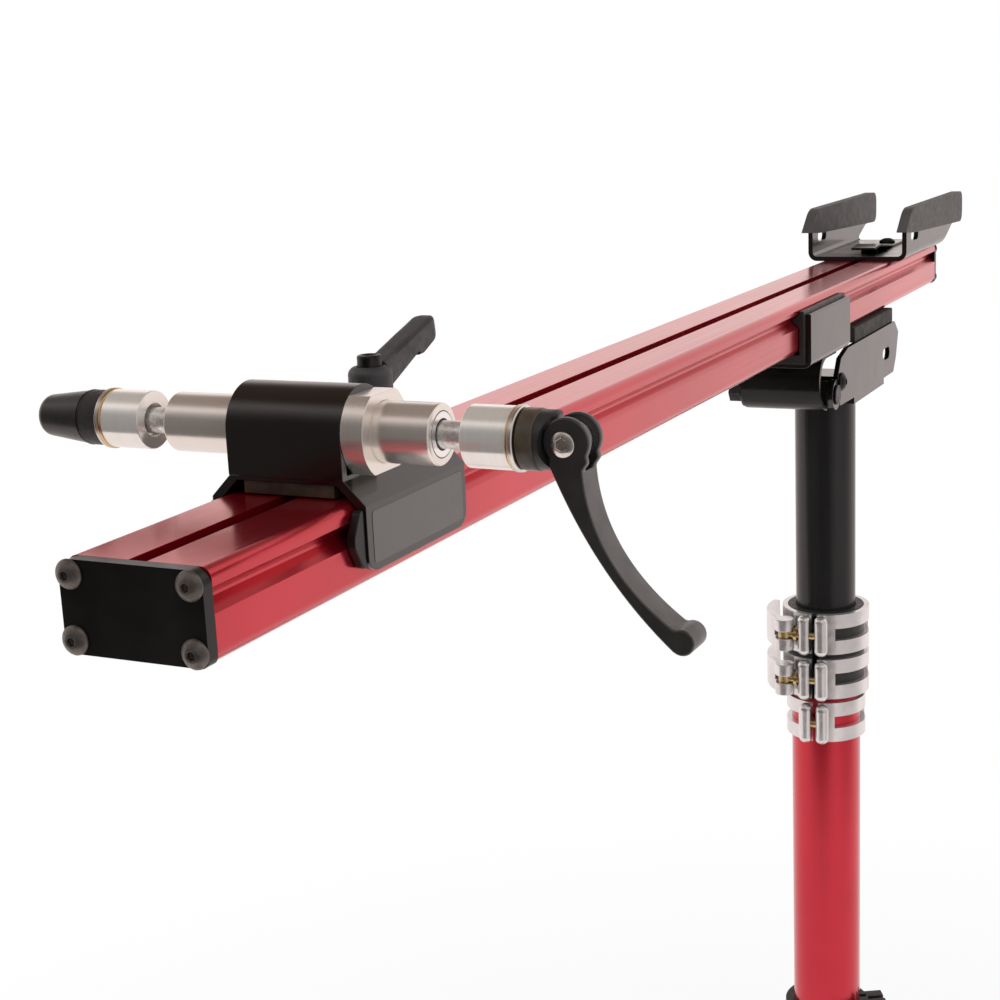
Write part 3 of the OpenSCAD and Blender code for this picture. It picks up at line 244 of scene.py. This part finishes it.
# Beam: a red anodised extrusion with a T-slot on top and grooved sides. Black plates close both ends,
# each held by four button screws.
red_beam = anodised("red_anodised_beam", (5, 900, 900))
dress("beam_rail", red_beam, 1.5 * MM, 4)
plate_black = finish("plate_black", (0.006, 0.0056, 0.0054), 0.0, 0.2, 1.35)
tint(plate_black, noise(plate_black, (30, 30, 30), 3), (0.005, 0.0047, 0.0045), (0.010, 0.0094, 0.009))
sheen(plate_black, noise(plate_black, (120, 120, 120), 3), 0.16, 0.26)
bronze_steel = finish("dark_bronze_screw", (0.15, 0.132, 0.12), 0.8, 0.4)
tint(bronze_steel, noise(bronze_steel, (400, 400, 400), 3), (0.165, 0.147, 0.132), (0.112, 0.099, 0.091))
sheen(bronze_steel, noise(bronze_steel, (700, 700, 700)), 0.34, 0.46)
dress("end_plates", plate_black, 1.1 * MM)
dress("end_plate_screws", bronze_steel, 0.35 * MM)

# Bottom bracket cradle: one bent sheet with two uprights, rubber channels over their top edges, a spring
# tongue for the strap, and bolts into the beam's slot.
pad_rubber = finish("pad_rubber", (0.058, 0.054, 0.053), 0.0, 0.6)
tint(pad_rubber, noise(pad_rubber, (50, 50, 50), 3), (0.052, 0.048, 0.047), (0.066, 0.061, 0.060))
sheen(pad_rubber, noise(pad_rubber, (200, 200, 200)), 0.5, 0.62)
relief(pad_rubber, noise(pad_rubber, (350, 350, 350)), 0.02 * MM)
dress("cradle_bracket", black_paint, 0.6 * MM)


def closed_shape(points, faces):
    """A bmesh of points in mm, its doubles merged and its faces turned outwards."""
    mesh = bpy.data.meshes.new("draft")
    mesh.from_pydata(points * MM, [], faces)
    shape = bmesh.new()
    shape.from_mesh(mesh)
    bpy.data.meshes.remove(mesh)
    bmesh.ops.remove_doubles(shape, verts=shape.verts, dist=MERGE)
    bmesh.ops.recalc_face_normals(shape, faces=shape.faces)
    return shape


def skin(*stacks):
    """Closed surfaces over stacks of rows of points in mm, all in one shape: each row is a loop of as many
    points, quads join it to the next, and a flat face covers the first and the last."""
    faces = []
    start = 0
    for rows in stacks:
        count, around = rows.shape[:2]
        end = start + (count - 1) * around
        first = np.arange(start, end, around)[:, None]
        at = np.arange(around)
        after = (at + 1) % around
        quads = np.stack((first + at, first + after, first + around + after, first + around + at), -1)
        faces += quads.reshape(-1, 4).tolist()
        faces += [list(range(start, start + around)), list(range(end, end + around))]
        start = end + around
    return closed_shape(np.concatenate([rows.reshape(-1, 3) for rows in stacks]), faces)


def softened(corners, reach, count=7):
    """Outline through corners in a plane: each is cut back by its reach along both sides and bridged by the
    quadratic curve that the corner draws."""
    corners = np.array(corners)
    ahead = np.roll(corners, -1, 0) - corners
    step = ahead / np.linalg.norm(ahead, axis=1)[:, None]
    reach = np.array(reach)[:, None]
    share = np.linspace(0, 1, count)[None, :, None]
    leave = (corners + reach * step)[:, None]
    arrive = (corners - reach * np.roll(step, 1, 0))[:, None]
    curve = (1 - share) ** 2 * arrive + 2 * share * (1 - share) * corners[:, None] + share ** 2 * leave
    return curve.reshape(-1, 2)


def plate(outline, first, last):
    """The two rows of a plate: an outline in X and Z at a first and a last place along Y."""
    return np.stack([np.insert(outline, 1, place, -1) for place in (first, last)])


# A pad from the side, from its front lower corner over the top. Its front leans and its tail is shallower.
PAD_Y = (28.4, 35.0)
PAD_CORNERS = [(-67.5, 969.5), (-85.0, 984.0), (-240.8, 984.0), (-240.8, 962.0), (-91.0, 967.5)]
PAD_REACH = [1.5, 8.0, 8.0, 8.0, 3.0]
pad_outline = softened(PAD_CORNERS, PAD_REACH)
pads = skin(plate(pad_outline, *PAD_Y), plate(pad_outline, -PAD_Y[1], -PAD_Y[0]))
stand_in("cradle_pads", pads, pad_rubber, 1.5 * MM, 4)
dress("strap_tongue", black_paint, 0.4 * MM)
dress("cradle_bolts", black_steel, 0.4 * MM)

# Hinge under the beam: a pressed saddle with plastic liners in the beam's grooves, and a bent hinge plate
# that turns on flanged bushes round the pivot bolt.
dress("hinge_saddle", black_paint, 0.8 * MM)
dress("hinge_liner", nylon, 0.6 * MM)
dress("hinge_block", plate_black, 0.7 * MM)
dress("hinge_bolts", black_steel, 0.35 * MM)
dress("pivot_bushes", nylon, 0.3 * MM)

# Axle carriage: a pressed black saddle whose hat holds the axle barrel, plastic liners in the beam's
# grooves, a moulded glide block, and a stud with the clamping handle.
brown = finish("brown_black_plastic", (0.030, 0.021, 0.014), 0.0, 0.36)
tint(brown, noise(brown, (120, 120, 120), 4), (0.022, 0.016, 0.012), (0.060, 0.042, 0.028))
sheen(brown, noise(brown, (260, 260, 260), 3), 0.28, 0.48)
relief(brown, noise(brown, (900, 900, 900)), 0.03 * MM)
dress("axle_saddle", black_paint, 1.4 * MM, 3)

# A blank satin label covers most of the flange's face: a rectangle with corners of one radius.
LABEL_X = (557.0, 618.5)
LABEL_Z = (929.6, 946.6)
LABEL_Y = (28.9, 29.15)
LABEL_R = 1.6
label_satin = finish("label_satin", (0.016, 0.0148, 0.0146), 0.0, 0.24, 2.0)
tint(label_satin, noise(label_satin, (40, 40, 40), 3), (0.014, 0.013, 0.0128), (0.02, 0.0186, 0.0184))
sheen(label_satin, noise(label_satin, (60, 60, 60), 3), 0.2, 0.28)
label_corners = [(LABEL_X[0], LABEL_Z[0]), (LABEL_X[0], LABEL_Z[1]), (LABEL_X[1], LABEL_Z[1]),
                 (LABEL_X[1], LABEL_Z[0])]
label_shape = skin(plate(softened(label_corners, [LABEL_R] * len(label_corners)), *LABEL_Y))
form("blank_label", "axle_saddle", label_shape, label_satin, 0.08 * MM)

# Each liner shows a pointed lip ahead of its flange, flat against the beam's side.
LIP_Y = (25.3, 28.3)
LIP_CORNERS = [(622.0, 929.0), (622.0, 948.0), (624.5, 948.0), (629.5, 938.5), (624.0, 929.0)]
LIP_REACH = [0.5, 0.5, 1.5, 3.0, 1.5]
dress("saddle_liners", nylon, 0.5 * MM)
lip_outline = softened(LIP_CORNERS, LIP_REACH)
for side, way in (("right", 1), ("left", -1)):
    lip = skin(plate(lip_outline, way * LIP_Y[0], way * LIP_Y[1]))
    form("liner_lip_" + side, "saddle_liners", lip, plate_black, 0.4 * MM)
dress("glide_block", brown, 0.6 * MM)
dress("slot_stud", steel, 0.3 * MM)

cast = finish("cast_handle", (0.030, 0.029, 0.030), 0.0, 0.5)
tint(cast, noise(cast, (90, 90, 90), 4), (0.026, 0.025, 0.026), (0.040, 0.038, 0.039))
sheen(cast, noise(cast, (500, 500, 500)), 0.42, 0.58)
relief(cast, noise(cast, (1600, 1600, 1600)), 0.05 * MM)


def lathe(profile, sides, place, cut=None):
    """Surface turned round Y and then put in its place: (radius, Y) pairs in mm swept round in equal steps.
    cut(turn, Y) lowers the radius where it is given. A profile that starts off the axis closes to a ring."""
    radius, along = np.array(profile).T[:, :, None]
    turn = np.linspace(0, 2 * np.pi, sides, endpoint=False)[None]
    if cut:
        radius = radius - cut(turn, along)
    points = np.stack(np.broadcast_arrays(radius * np.cos(turn), along, radius * np.sin(turn)), -1)
    is_ring = profile[0][0] > 0
    row = np.arange(len(profile) if is_ring else len(profile) - 1)[:, None]
    first = row * sides
    after = (row + 1) % len(profile) * sides
    step = np.arange(sides)
    ahead = (step + 1) % sides
    quads = np.stack((first + step, first + ahead, after + ahead, after + step), -1)
    shape = closed_shape(points.reshape(-1, 3), quads.reshape(-1, 4).tolist())
    shape.transform(place)
    return shape


# The handle's hub stands on the stud, its upper rim well rounded, and a dished cap screw holds it.
HANDLE_X = 565.0
HUB_R = 7.7
HUB_LOW = 958.4
HUB_TOP = 983.6
RIM_R = 3.0
SEAT_DEPTH = 1.5
CAP_R = 4.3
CAP_TOP = 987.4
CAP_GAP = 0.2
CAP_LIFT = 0.1
CAP_EDGE = 0.5
DISH_RIM = 0.9
DISH_DEPTH = 0.8
upright = Matrix.Translation((HANDLE_X * MM, 0, 0)) @ Matrix.Rotation(math.pi / 2, 4, "X")
rim = np.linspace(0, math.pi / 2, 8)
seat_z = HUB_TOP - SEAT_DEPTH
hub_profile = [(0.0, HUB_LOW), (HUB_R, HUB_LOW)]
hub_profile += list(zip(HUB_R - RIM_R * (1 - np.cos(rim)), HUB_TOP - RIM_R * (1 - np.sin(rim))))
hub_profile += [(CAP_R + CAP_GAP, HUB_TOP), (CAP_R + CAP_GAP, seat_z), (0.0, seat_z)]
stand_in("clamping_handle", lathe(hub_profile, sides=64, place=upright), cast, 0.25 * MM)
cap_low = seat_z + CAP_LIFT
dish = np.linspace(1, 0, 6)
cap_profile = [(0.0, cap_low), (CAP_R, cap_low), (CAP_R, CAP_TOP - CAP_EDGE), (CAP_R - CAP_EDGE, CAP_TOP)]
cap_profile += list(zip((CAP_R - DISH_RIM) * dish, CAP_TOP - DISH_DEPTH * (1 - dish ** 2)))
stand_in("handle_screw", lathe(cap_profile, sides=48, place=upright), black_steel, 0.1 * MM)

# The arm rises away from the hub: loops of a rectangle with round corners, wider below than above, on a
# floor with a thumb stop near the tip, and drawn in to a round end.
ARM_START = 561.0
ARM_END = 521.6
ARM_RISE = 556.0
ARM_Z = 986.0
ARM_SLOPE = 0.3
ARM_TOP = 4.6
ARM_LOW = 5.4
STOP_X = (538.4, 537.8, 537.2, 536.2, 535.0, 533.6, 532.6)
STOP_EDGE = (539.2, 531.6)
FLOOR_X = (521.0, 527.0, 533.6, 537.2, 538.4, 555.0, 561.0)
FLOOR_Z = (989.0, 986.0, 983.2, 983.0, 983.9, 976.7, 974.2)
TIP_HEIGHT = 0.55
TIP_TURN = 86
SQUARENESS = 6
tip_turn = np.radians(np.linspace(0, TIP_TURN, 9))
tip_start = ARM_END + ARM_LOW
arm_x = np.concatenate((np.linspace(ARM_START, STOP_EDGE[0], 9), STOP_X,
                        np.linspace(STOP_EDGE[1], tip_start, 4)[:-1], tip_start - ARM_LOW * np.sin(tip_turn)))
narrow = np.concatenate((np.ones(len(arm_x) - len(tip_turn)), np.cos(tip_turn)))[:, None]
arm_top = ARM_Z + ARM_SLOPE * (ARM_RISE - arm_x)
arm_floor = np.interp(arm_x, FLOOR_X, FLOOR_Z)
arm_middle = ((arm_top + arm_floor) / 2)[:, None]
arm_half = ((arm_top - arm_floor) / 2)[:, None] * (TIP_HEIGHT + (1 - TIP_HEIGHT) * narrow)
loop_turn = np.radians(np.arange(0, 360, 10))
circle = np.stack((np.cos(loop_turn), np.sin(loop_turn)))
loop_across, loop_up = circle * (np.abs(circle) ** SQUARENESS).sum(0) ** (-1 / SQUARENESS)
loop_side = (ARM_LOW + (ARM_TOP - ARM_LOW) * (loop_up + 1) / 2) * loop_across
arm_rows = np.broadcast_arrays(arm_x[:, None], narrow * loop_side, arm_middle + arm_half * loop_up)
form("handle_arm", "clamping_handle", skin(np.stack(arm_rows, -1)), cast, 0.2 * MM)

# Axle clamp: turned aluminium barrel, bush and sleeves on a zinc plated skewer, bright inserts in the
# barrel's ends and thin brass coloured grip rings. The turning lines run round the axle.
RINGS = 1300
SHEEN_RINGS = 700


def turned(name, light, dark, low, high, metallic=1.0, depth=0.3):
    """Turned metal: fine rings across Y in colour, sheen and relief, that of depth thousandths of a mm."""
    material = finish(name, light, metallic, low)
    tint(material, noise(material, (5, RINGS, 5), 3), light, dark)
    sheen(material, noise(material, (3, SHEEN_RINGS, 3), 3), low, high)
    relief(material, noise(material, (2, RINGS, 2), 2), 0.001 * depth * MM)
    return material


def distance(material, origin, axes):
    """Distance in metres from an origin, along those of the three axes that are 1 and not 0."""
    tree = material.node_tree
    place = tree.nodes.new("ShaderNodeTexCoord")
    inward = tree.nodes.new("ShaderNodeMapping")
    inward.inputs["Location"].default_value = -np.array(origin) * axes
    inward.inputs["Scale"].default_value = axes
    length = tree.nodes.new("ShaderNodeVectorMath")
    length.operation = "LENGTH"
    tree.links.new(place.outputs["Object"], inward.inputs["Vector"])
    tree.links.new(inward.outputs["Vector"], length.inputs[0])
    return length.outputs["Value"]


axle = np.array(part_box("axle_barrel")).mean(0)
on_axle = Matrix.Translation((axle[0], 0, axle[2]))
aluminium = turned("turned_aluminium", (0.86, 0.81, 0.76), (0.82, 0.77, 0.72), 0.2, 0.23, 0.85, 0.05)
polished = turned("polished_aluminium", (0.92, 0.885, 0.84), (0.86, 0.83, 0.79), 0.13, 0.18, 0.65, 0.1)

# The inserts are dark round the skewer, and the grip rings brass coloured next to the sleeves.
DARK_R = (5.1 * MM, 5.2 * MM)
BRASS_Y = (76.75 * MM, 76.95 * MM)
bright = turned("bright_insert", (0.88, 0.88, 0.88), (0.82, 0.82, 0.82), 0.1, 0.2)
from_axle = distance(bright, axle, (1, 0, 1))
tint(bright, from_axle, (0.02, 0.019, 0.018), (0.88, 0.88, 0.88), *DARK_R)
ring_metal = turned("ring_metal", (0.80, 0.78, 0.74), (0.72, 0.69, 0.65), 0.2, 0.3)
from_middle = distance(ring_metal, (0, 0, 0), (0, 1, 0))
tint(ring_metal, from_middle, (0.66, 0.47, 0.24), (0.80, 0.78, 0.74), *BRASS_Y)
zinc = finish("zinc_skewer", (0.82, 0.80, 0.78), 0.75, 0.28)
tint(zinc, noise(zinc, (600, 600, 600), 3), (0.86, 0.84, 0.82), (0.66, 0.64, 0.62))
sheen(zinc, noise(zinc, (900, 900, 900)), 0.2, 0.36)
relief(zinc, noise(zinc, (1400, 1400, 1400)), 0.05 * MM)
for node in ("axle_barrel", "flanged_bush"):
    dress(node, aluminium, 0.25 * MM)

# The sleeves have a broken edge at both ends and a recess in the face towards the fork.
SLEEVE_R = 10.0
SLEEVE_EDGE = 0.3
SLEEVE_FACE = 60.5
SLEEVE_BACK = 76.0
RECESS_R = 5.7
RECESS_FLOOR = 63.5
SKEWER_BORE = 4.6
sleeve_profile = [(SKEWER_BORE, RECESS_FLOOR), (RECESS_R, RECESS_FLOOR), (RECESS_R, SLEEVE_FACE),
                  (SLEEVE_R - SLEEVE_EDGE, SLEEVE_FACE), (SLEEVE_R, SLEEVE_FACE + SLEEVE_EDGE),
                  (SLEEVE_R, SLEEVE_BACK - SLEEVE_EDGE), (SLEEVE_R - SLEEVE_EDGE, SLEEVE_BACK),
                  (SKEWER_BORE, SLEEVE_BACK)]
for side, way in (("right", 1), ("left", -1)):
    profile = [(radius, way * along) for radius, along in sleeve_profile]
    sleeve = lathe(profile, sides=96, place=on_axle)
    stand_in("clamp_sleeve_" + side, sleeve, polished, 0.12 * MM)
    dress("grip_ring_" + side, ring_metal, 0.12 * MM)
dress("barrel_inserts", bright, 0.15 * MM)
dress("skewer", zinc, 0.3 * MM)
dress("seat_spacer", brown, 0.3 * MM)
dress("cam_seat", nylon, 0.4 * MM)

# The nut at the far end of the skewer: a cross knurled grip band, a groove, and a taper with a round end.
NUT_AT = 78.5
NUT_L = 28.0
NUT_R = 9.6
GRIP_L = 7.6
END_R = 7.3
DOME_R = 3.8
GROOVE_DEPTH = 0.7
GROOVE_L = 0.7
TAPER_DROP = 0.35
STEP_L = 0.1
DOME_START = 0.1
GRIP_ROWS = 50
TEETH = 64
TOOTH_STEPS = 6
TOOTH_PITCH = 0.94
TOOTH_DEPTH = 0.26


def knurl(turn, along):
    """Two crossing sets of ridges round the band: the deeper of two triangle waves that lean to either side.
    They run out over the band's first and last half pitch."""
    reach = np.abs(along) - NUT_AT
    lean = reach / TOOTH_PITCH
    around = turn * TEETH / (2 * np.pi)
    ridges = [np.abs(2 * ((around + way * lean) % 1.0) - 1) for way in (1, -1)]
    inside = np.clip(np.minimum(reach, GRIP_L - reach) / (TOOTH_PITCH / 2), 0, 1)
    return TOOTH_DEPTH * np.maximum(*ridges) * inside


grip = [(NUT_R, -NUT_AT - along) for along in np.linspace(0, GRIP_L, GRIP_ROWS)]
groove_y = -NUT_AT - GRIP_L - STEP_L
taper = [(NUT_R - GROOVE_DEPTH, groove_y), (NUT_R - GROOVE_DEPTH, groove_y - GROOVE_L),
         (NUT_R - TAPER_DROP, groove_y - GROOVE_L - STEP_L)]
dome_turn = np.linspace(DOME_START, math.pi / 2, 9)
dome = list(zip(END_R - DOME_R * (1 - np.cos(dome_turn)), DOME_R * (1 - np.sin(dome_turn)) - NUT_AT - NUT_L))
nut_profile = [(0.0, -NUT_AT)] + grip + taper + dome + [(0.0, -NUT_AT - NUT_L)]
nut_shape = lathe(nut_profile, sides=TOOTH_STEPS * TEETH, place=on_axle, cut=knurl)
nut_black = finish("nut_black", (0.009, 0.0085, 0.0085), 0.0, 0.24)
tint(nut_black, noise(nut_black, (60, 60, 60), 3), (0.008, 0.0075, 0.0075), (0.014, 0.013, 0.013))
sheen(nut_black, noise(nut_black, (250, 250, 250), 3), 0.2, 0.3)
stand_in("skewer_nut", nut_shape, nut_black, 0.05 * MM)

# Cam lever: a forged black lever, forked round the skewer's end, on a bright socket screw. Its arm bows out
# and down to a round tip.
lever_paint = finish("lever_black", (0.012, 0.0115, 0.0115), 0.0, 0.34, 1.8)
tint(lever_paint, noise(lever_paint, (45, 45, 45), 3), (0.010, 0.0095, 0.0095), (0.018, 0.017, 0.017))
sheen(lever_paint, noise(lever_paint, (150, 150, 150), 3), 0.28, 0.4)
relief(lever_paint, noise(lever_paint, (700, 700, 700)), 0.02 * MM)
stainless = finish("stainless_screw", (0.74, 0.72, 0.69), 1.0, 0.2)
tint(stainless, noise(stainless, (500, 500, 500), 3), (0.78, 0.76, 0.73), (0.62, 0.60, 0.57))
sheen(stainless, noise(stainless, (800, 800, 800)), 0.16, 0.28)


def bow(start, control, end, count):
    """Quadratic curve from start to end in the lever's plane, drawn towards its control point."""
    share = np.linspace(0, 1, count)[:, None]
    weights = ((1 - share) ** 2, 2 * share * (1 - share), share ** 2)
    return sum(weight * np.array(point) for weight, point in zip(weights, (start, control, end)))


def arc(centre, radii, turns, count):
    """Points round a centre between two angles in degrees, while the radius goes from the first to the
    second."""
    angle = np.radians(np.linspace(*turns, count))
    radius = np.linspace(*radii, count)
    return np.array(centre) + np.column_stack((radius * np.cos(angle), radius * np.sin(angle)))


# Outline from the fork round the head, then down the inner edge, round the tip and up the outer edge. The
# two ends of the fork's floor are shared by both parts.
LEVER_HALF = 6.0
FORK_HALF = 3.2
FLOOR_OUT = (6.0, -8.0)
FLOOR_IN = (-5.0, -6.5)
NECK = [(7.5, -5.9), (7.7, -5.0)]
HEAD_AT = (0.9, 0.6)
HEAD_R = 7.6
HEAD_TURNS = (-34, 222)
INNER_PULL = (8.8, -40.0)
INNER_END = (33.3, -61.7)
TIP_AT = (36.2, -58.7)
TIP_R = 4.1
TIP_TURNS = (-128, 112)
OUTER_START = (33.9, -55.0)
OUTER_PULL = (7.5, -36.0)
FORK_RADII = (10.0, 8.2)
FORK_TURNS = (-53.1, -127.6)
head = np.concatenate(([FLOOR_OUT], NECK, arc(HEAD_AT, (HEAD_R, HEAD_R), HEAD_TURNS, 36), [FLOOR_IN]))
inner_edge = bow(FLOOR_IN, INNER_PULL, INNER_END, 24)[1:]
outer_edge = bow(OUTER_START, OUTER_PULL, FLOOR_OUT, 24)[:-1]
whole = np.concatenate((head, inner_edge, arc(TIP_AT, (TIP_R, TIP_R), TIP_TURNS, 17), outer_edge))
fork_floor = arc((0.0, 0.0), FORK_RADII, FORK_TURNS, 12)[1:-1]
cheek = np.concatenate((head, fork_floor[::-1]))
pivot = np.array(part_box("cam_screw")).mean(0) / MM


def layer(outline, x):
    """The outline's points at a place along the pivot."""
    return np.column_stack((np.full(len(outline), axle[0] / MM + x), outline + pivot[1:]))


def band(first, second, at, after):
    """Quads between two layers that start at the first and second index, from each place to the one after."""
    return np.column_stack((first + at, first + after, second + after, second + at)).tolist()


# Four layers across the lever: its two sides, and the fork's two inner faces between them. The last two
# faces close the arm's edges at the ends of the fork's floor.
lever_points = np.concatenate((layer(whole, LEVER_HALF), layer(cheek, FORK_HALF), layer(cheek, -FORK_HALF),
                               layer(whole, -LEVER_HALF)))
near = len(whole)
far = near + len(cheek)
back = far + len(cheek)
arm_first = len(head)
head_last = arm_first - 1
whole_last = len(whole) - 1
on_head = np.arange(head_last)
on_arm = np.arange(arm_first, whole_last)
on_floor = np.arange(head_last, len(cheek))
lever_faces = band(0, near, on_head, on_head + 1) + band(far, back, on_head, on_head + 1)
lever_faces += band(0, back, on_arm, on_arm + 1)
lever_faces += band(near, far, on_floor, (on_floor + 1) % len(cheek))
lever_faces += [list(range(0, near)), list(range(near, far)), list(range(far, back))]
lever_faces += [list(range(back, len(lever_points)))]
lever_faces += [[whole_last, 0, near, far, back, back + whole_last],
                [head_last, arm_first, back + arm_first, back + head_last, far + head_last, near + head_last]]
stand_in("cam_lever", closed_shape(lever_points, lever_faces), lever_paint, 0.7 * MM)
dress("cam_screw", stainless, 0.3 * MM)

# Camera: a long lens near the axle clamp, so that the beam runs away up to the right. Its place and turn
# come from the beam's edges and the axle in the picture.
IMAGE_PX = 1000
FOCAL_PX = 1770.3
SENSOR_MM = 36.0
eye = Vector((1.0857, 0.3073, 1.0763))
right = Vector((-0.4363, 0.8987, -0.0453)).normalized()
down = Vector((0.2259, 0.0607, -0.9723)).normalized()
lens = bpy.data.cameras.new("camera")
lens.sensor_width = SENSOR_MM
lens.lens = SENSOR_MM * FOCAL_PX / IMAGE_PX
lens.clip_start = 0.02
camera = bpy.data.objects.new("camera", lens)
aim = Matrix((right, -down, -right.cross(down))).transposed()
camera.matrix_world = Matrix.Translation(eye) @ aim.to_4x4()
scene.collection.objects.link(camera)
scene.camera = camera


# Studio: a pale floor that keeps a faint shadow, and a white background for the camera. The metal mirrors
# warm walls with a few darker patches. A soft key lamp hangs above to the left, a weaker one to the right.
def seen_ray(tree):
    """1 for rays from the camera and for rays reflected or let through, 0 for diffuse light."""
    path = tree.nodes.new("ShaderNodeLightPath")
    total = path.outputs["Is Camera Ray"]
    for kind in ("Is Glossy Ray", "Is Transmission Ray"):
        both = tree.nodes.new("ShaderNodeMath")
        both.operation = "MAXIMUM"
        tree.links.new(total, both.inputs[0])
        tree.links.new(path.outputs[kind], both.inputs[1])
        total = both.outputs["Value"]
    return total


# Round the stand the walls are warm, but for three patches: a grey one to the right, a tan ceiling and a dim
# one behind the camera. Each has its colour, the direction of its middle, and where it starts and is full.
AMBIENT = 0.65
WHITE = (1.0, 1.0, 1.0)
WARM_WALL = (1.0, 0.9, 0.87)
PATCHES = (
    ((0.55, 0.5, 0.485), (0.35, 0.93, 0.0), 0.35, 0.85),
    ((0.16, 0.105, 0.07), (-0.25, -0.15, 0.95), 0.6, 0.85),
    ((0.095, 0.08, 0.072), (0.95, -0.25, -0.15), 0.25, 0.85)
)


def facing(tree, heading, axis, start, end):
    """0 for directions away from an axis, rising smoothly to 1 for directions along it."""
    along = tree.nodes.new("ShaderNodeVectorMath")
    along.operation = "DOT_PRODUCT"
    along.inputs[1].default_value = axis
    fall = tree.nodes.new("ShaderNodeMapRange")
    fall.interpolation_type = "SMOOTHSTEP"
    fall.inputs["From Min"].default_value = start
    fall.inputs["From Max"].default_value = end
    tree.links.new(heading, along.inputs[0])
    tree.links.new(along.outputs["Value"], fall.inputs["Value"])
    return fall.outputs["Result"]


world = bpy.data.worlds.new("studio")
scene.world = world
world.use_nodes = True
sky = world.node_tree
ambient = sky.nodes["Background"]
ambient.inputs["Color"].default_value = (*WHITE, 1.0)
ambient.inputs["Strength"].default_value = AMBIENT
heading = sky.nodes.new("ShaderNodeTexCoord").outputs["Generated"]
layers = [(colour, facing(sky, heading, *where)) for colour, *where in PATCHES]
layers.append((WHITE, sky.nodes.new("ShaderNodeLightPath").outputs["Is Camera Ray"]))
wall = None
for colour, amount in layers:
    over = sky.nodes.new("ShaderNodeMix")
    over.data_type = "RGBA"
    over.inputs["A"].default_value = (*WARM_WALL, 1.0)
    over.inputs["B"].default_value = (*colour, 1.0)
    if wall:
        sky.links.new(wall, over.inputs["A"])
    sky.links.new(amount, over.inputs["Factor"])
    wall = over.outputs["Result"]
white = sky.nodes.new("ShaderNodeBackground")
sky.links.new(wall, white.inputs["Color"])
choice = sky.nodes.new("ShaderNodeMixShader")
sky.links.new(seen_ray(sky), choice.inputs["Fac"])
sky.links.new(ambient.outputs["Background"], choice.inputs[1])
sky.links.new(white.outputs["Background"], choice.inputs[2])
sky.links.new(choice.outputs["Shader"], sky.nodes["World Output"].inputs["Surface"])

# The floor ends ahead of the stand and to its right. Near the stand it takes the shadow, and further out it
# fades into the background's white.
FLOOR_HALF = 30.0
FLOOR_FRONT = 1.5
FLOOR_RIGHT = 1.5
FLOOR_GLOW = 0.8
FADE = (0.6, 1.45)
floor_mesh = bpy.data.meshes.new("floor")
corners = [(-FLOOR_HALF, -FLOOR_HALF, 0), (FLOOR_FRONT, -FLOOR_HALF, 0), (FLOOR_FRONT, FLOOR_RIGHT, 0),
           (-FLOOR_HALF, FLOOR_RIGHT, 0)]
floor_mesh.from_pydata(corners, [], [(0, 1, 2, 3)])
floor = bpy.data.objects.new("floor", floor_mesh)
scene.collection.objects.link(floor)
floor_paint = finish("pale_floor", (0.86, 0.86, 0.86), 0.0, 0.9)
ground = floor_paint.node_tree
fade = ground.nodes.new("ShaderNodeMapRange")
fade.interpolation_type = "SMOOTHSTEP"
fade.inputs["From Min"].default_value = FADE[0]
fade.inputs["From Max"].default_value = FADE[1]
fade.inputs["To Min"].default_value = FLOOR_GLOW
ground.links.new(distance(floor_paint, (0, 0, 0), (1, 1, 1)), fade.inputs["Value"])
glow_share = ground.nodes.new("ShaderNodeMath")
glow_share.operation = "MULTIPLY"
ground.links.new(fade.outputs["Result"], glow_share.inputs[0])
ground.links.new(seen_ray(ground), glow_share.inputs[1])
hue = ground.nodes.new("ShaderNodeMix")
hue.data_type = "RGBA"
hue.inputs["A"].default_value = (*WARM_WALL, 1.0)
hue.inputs["B"].default_value = (*WHITE, 1.0)
ground.links.new(ground.nodes.new("ShaderNodeLightPath").outputs["Is Camera Ray"], hue.inputs["Factor"])
glow = ground.nodes.new("ShaderNodeEmission")
ground.links.new(hue.outputs["Result"], glow.inputs["Color"])
floor_mix = ground.nodes.new("ShaderNodeMixShader")
ground.links.new(glow_share.outputs["Value"], floor_mix.inputs["Fac"])
ground.links.new(ground.nodes["Principled BSDF"].outputs["BSDF"], floor_mix.inputs[1])
ground.links.new(glow.outputs["Emission"], floor_mix.inputs[2])
ground.links.new(floor_mix.outputs["Shader"], ground.nodes["Material Output"].inputs["Surface"])
floor_mesh.materials.append(floor_paint)


def softbox(name, place, aim, size, watts):
    """Rectangular area lamp that faces the aimed point."""
    lamp = bpy.data.lights.new(name, "AREA")
    lamp.shape = "RECTANGLE"
    lamp.size, lamp.size_y = size
    lamp.energy = watts
    holder = bpy.data.objects.new(name, lamp)
    holder.location = place
    holder.rotation_euler = (Vector(aim) - Vector(place)).to_track_quat("-Z", "Y").to_euler()
    holder.visible_glossy = False
    scene.collection.objects.link(holder)


clamp_at = (0.6, 0.0, 0.96)
beam_at = (0.3, 0.0, 0.95)
softbox("key", (1.0, -1.4, 2.6), clamp_at, (1.6, 1.6), 26)
softbox("fill", (0.4, 1.9, 1.9), beam_at, (1.8, 1.2), 16)
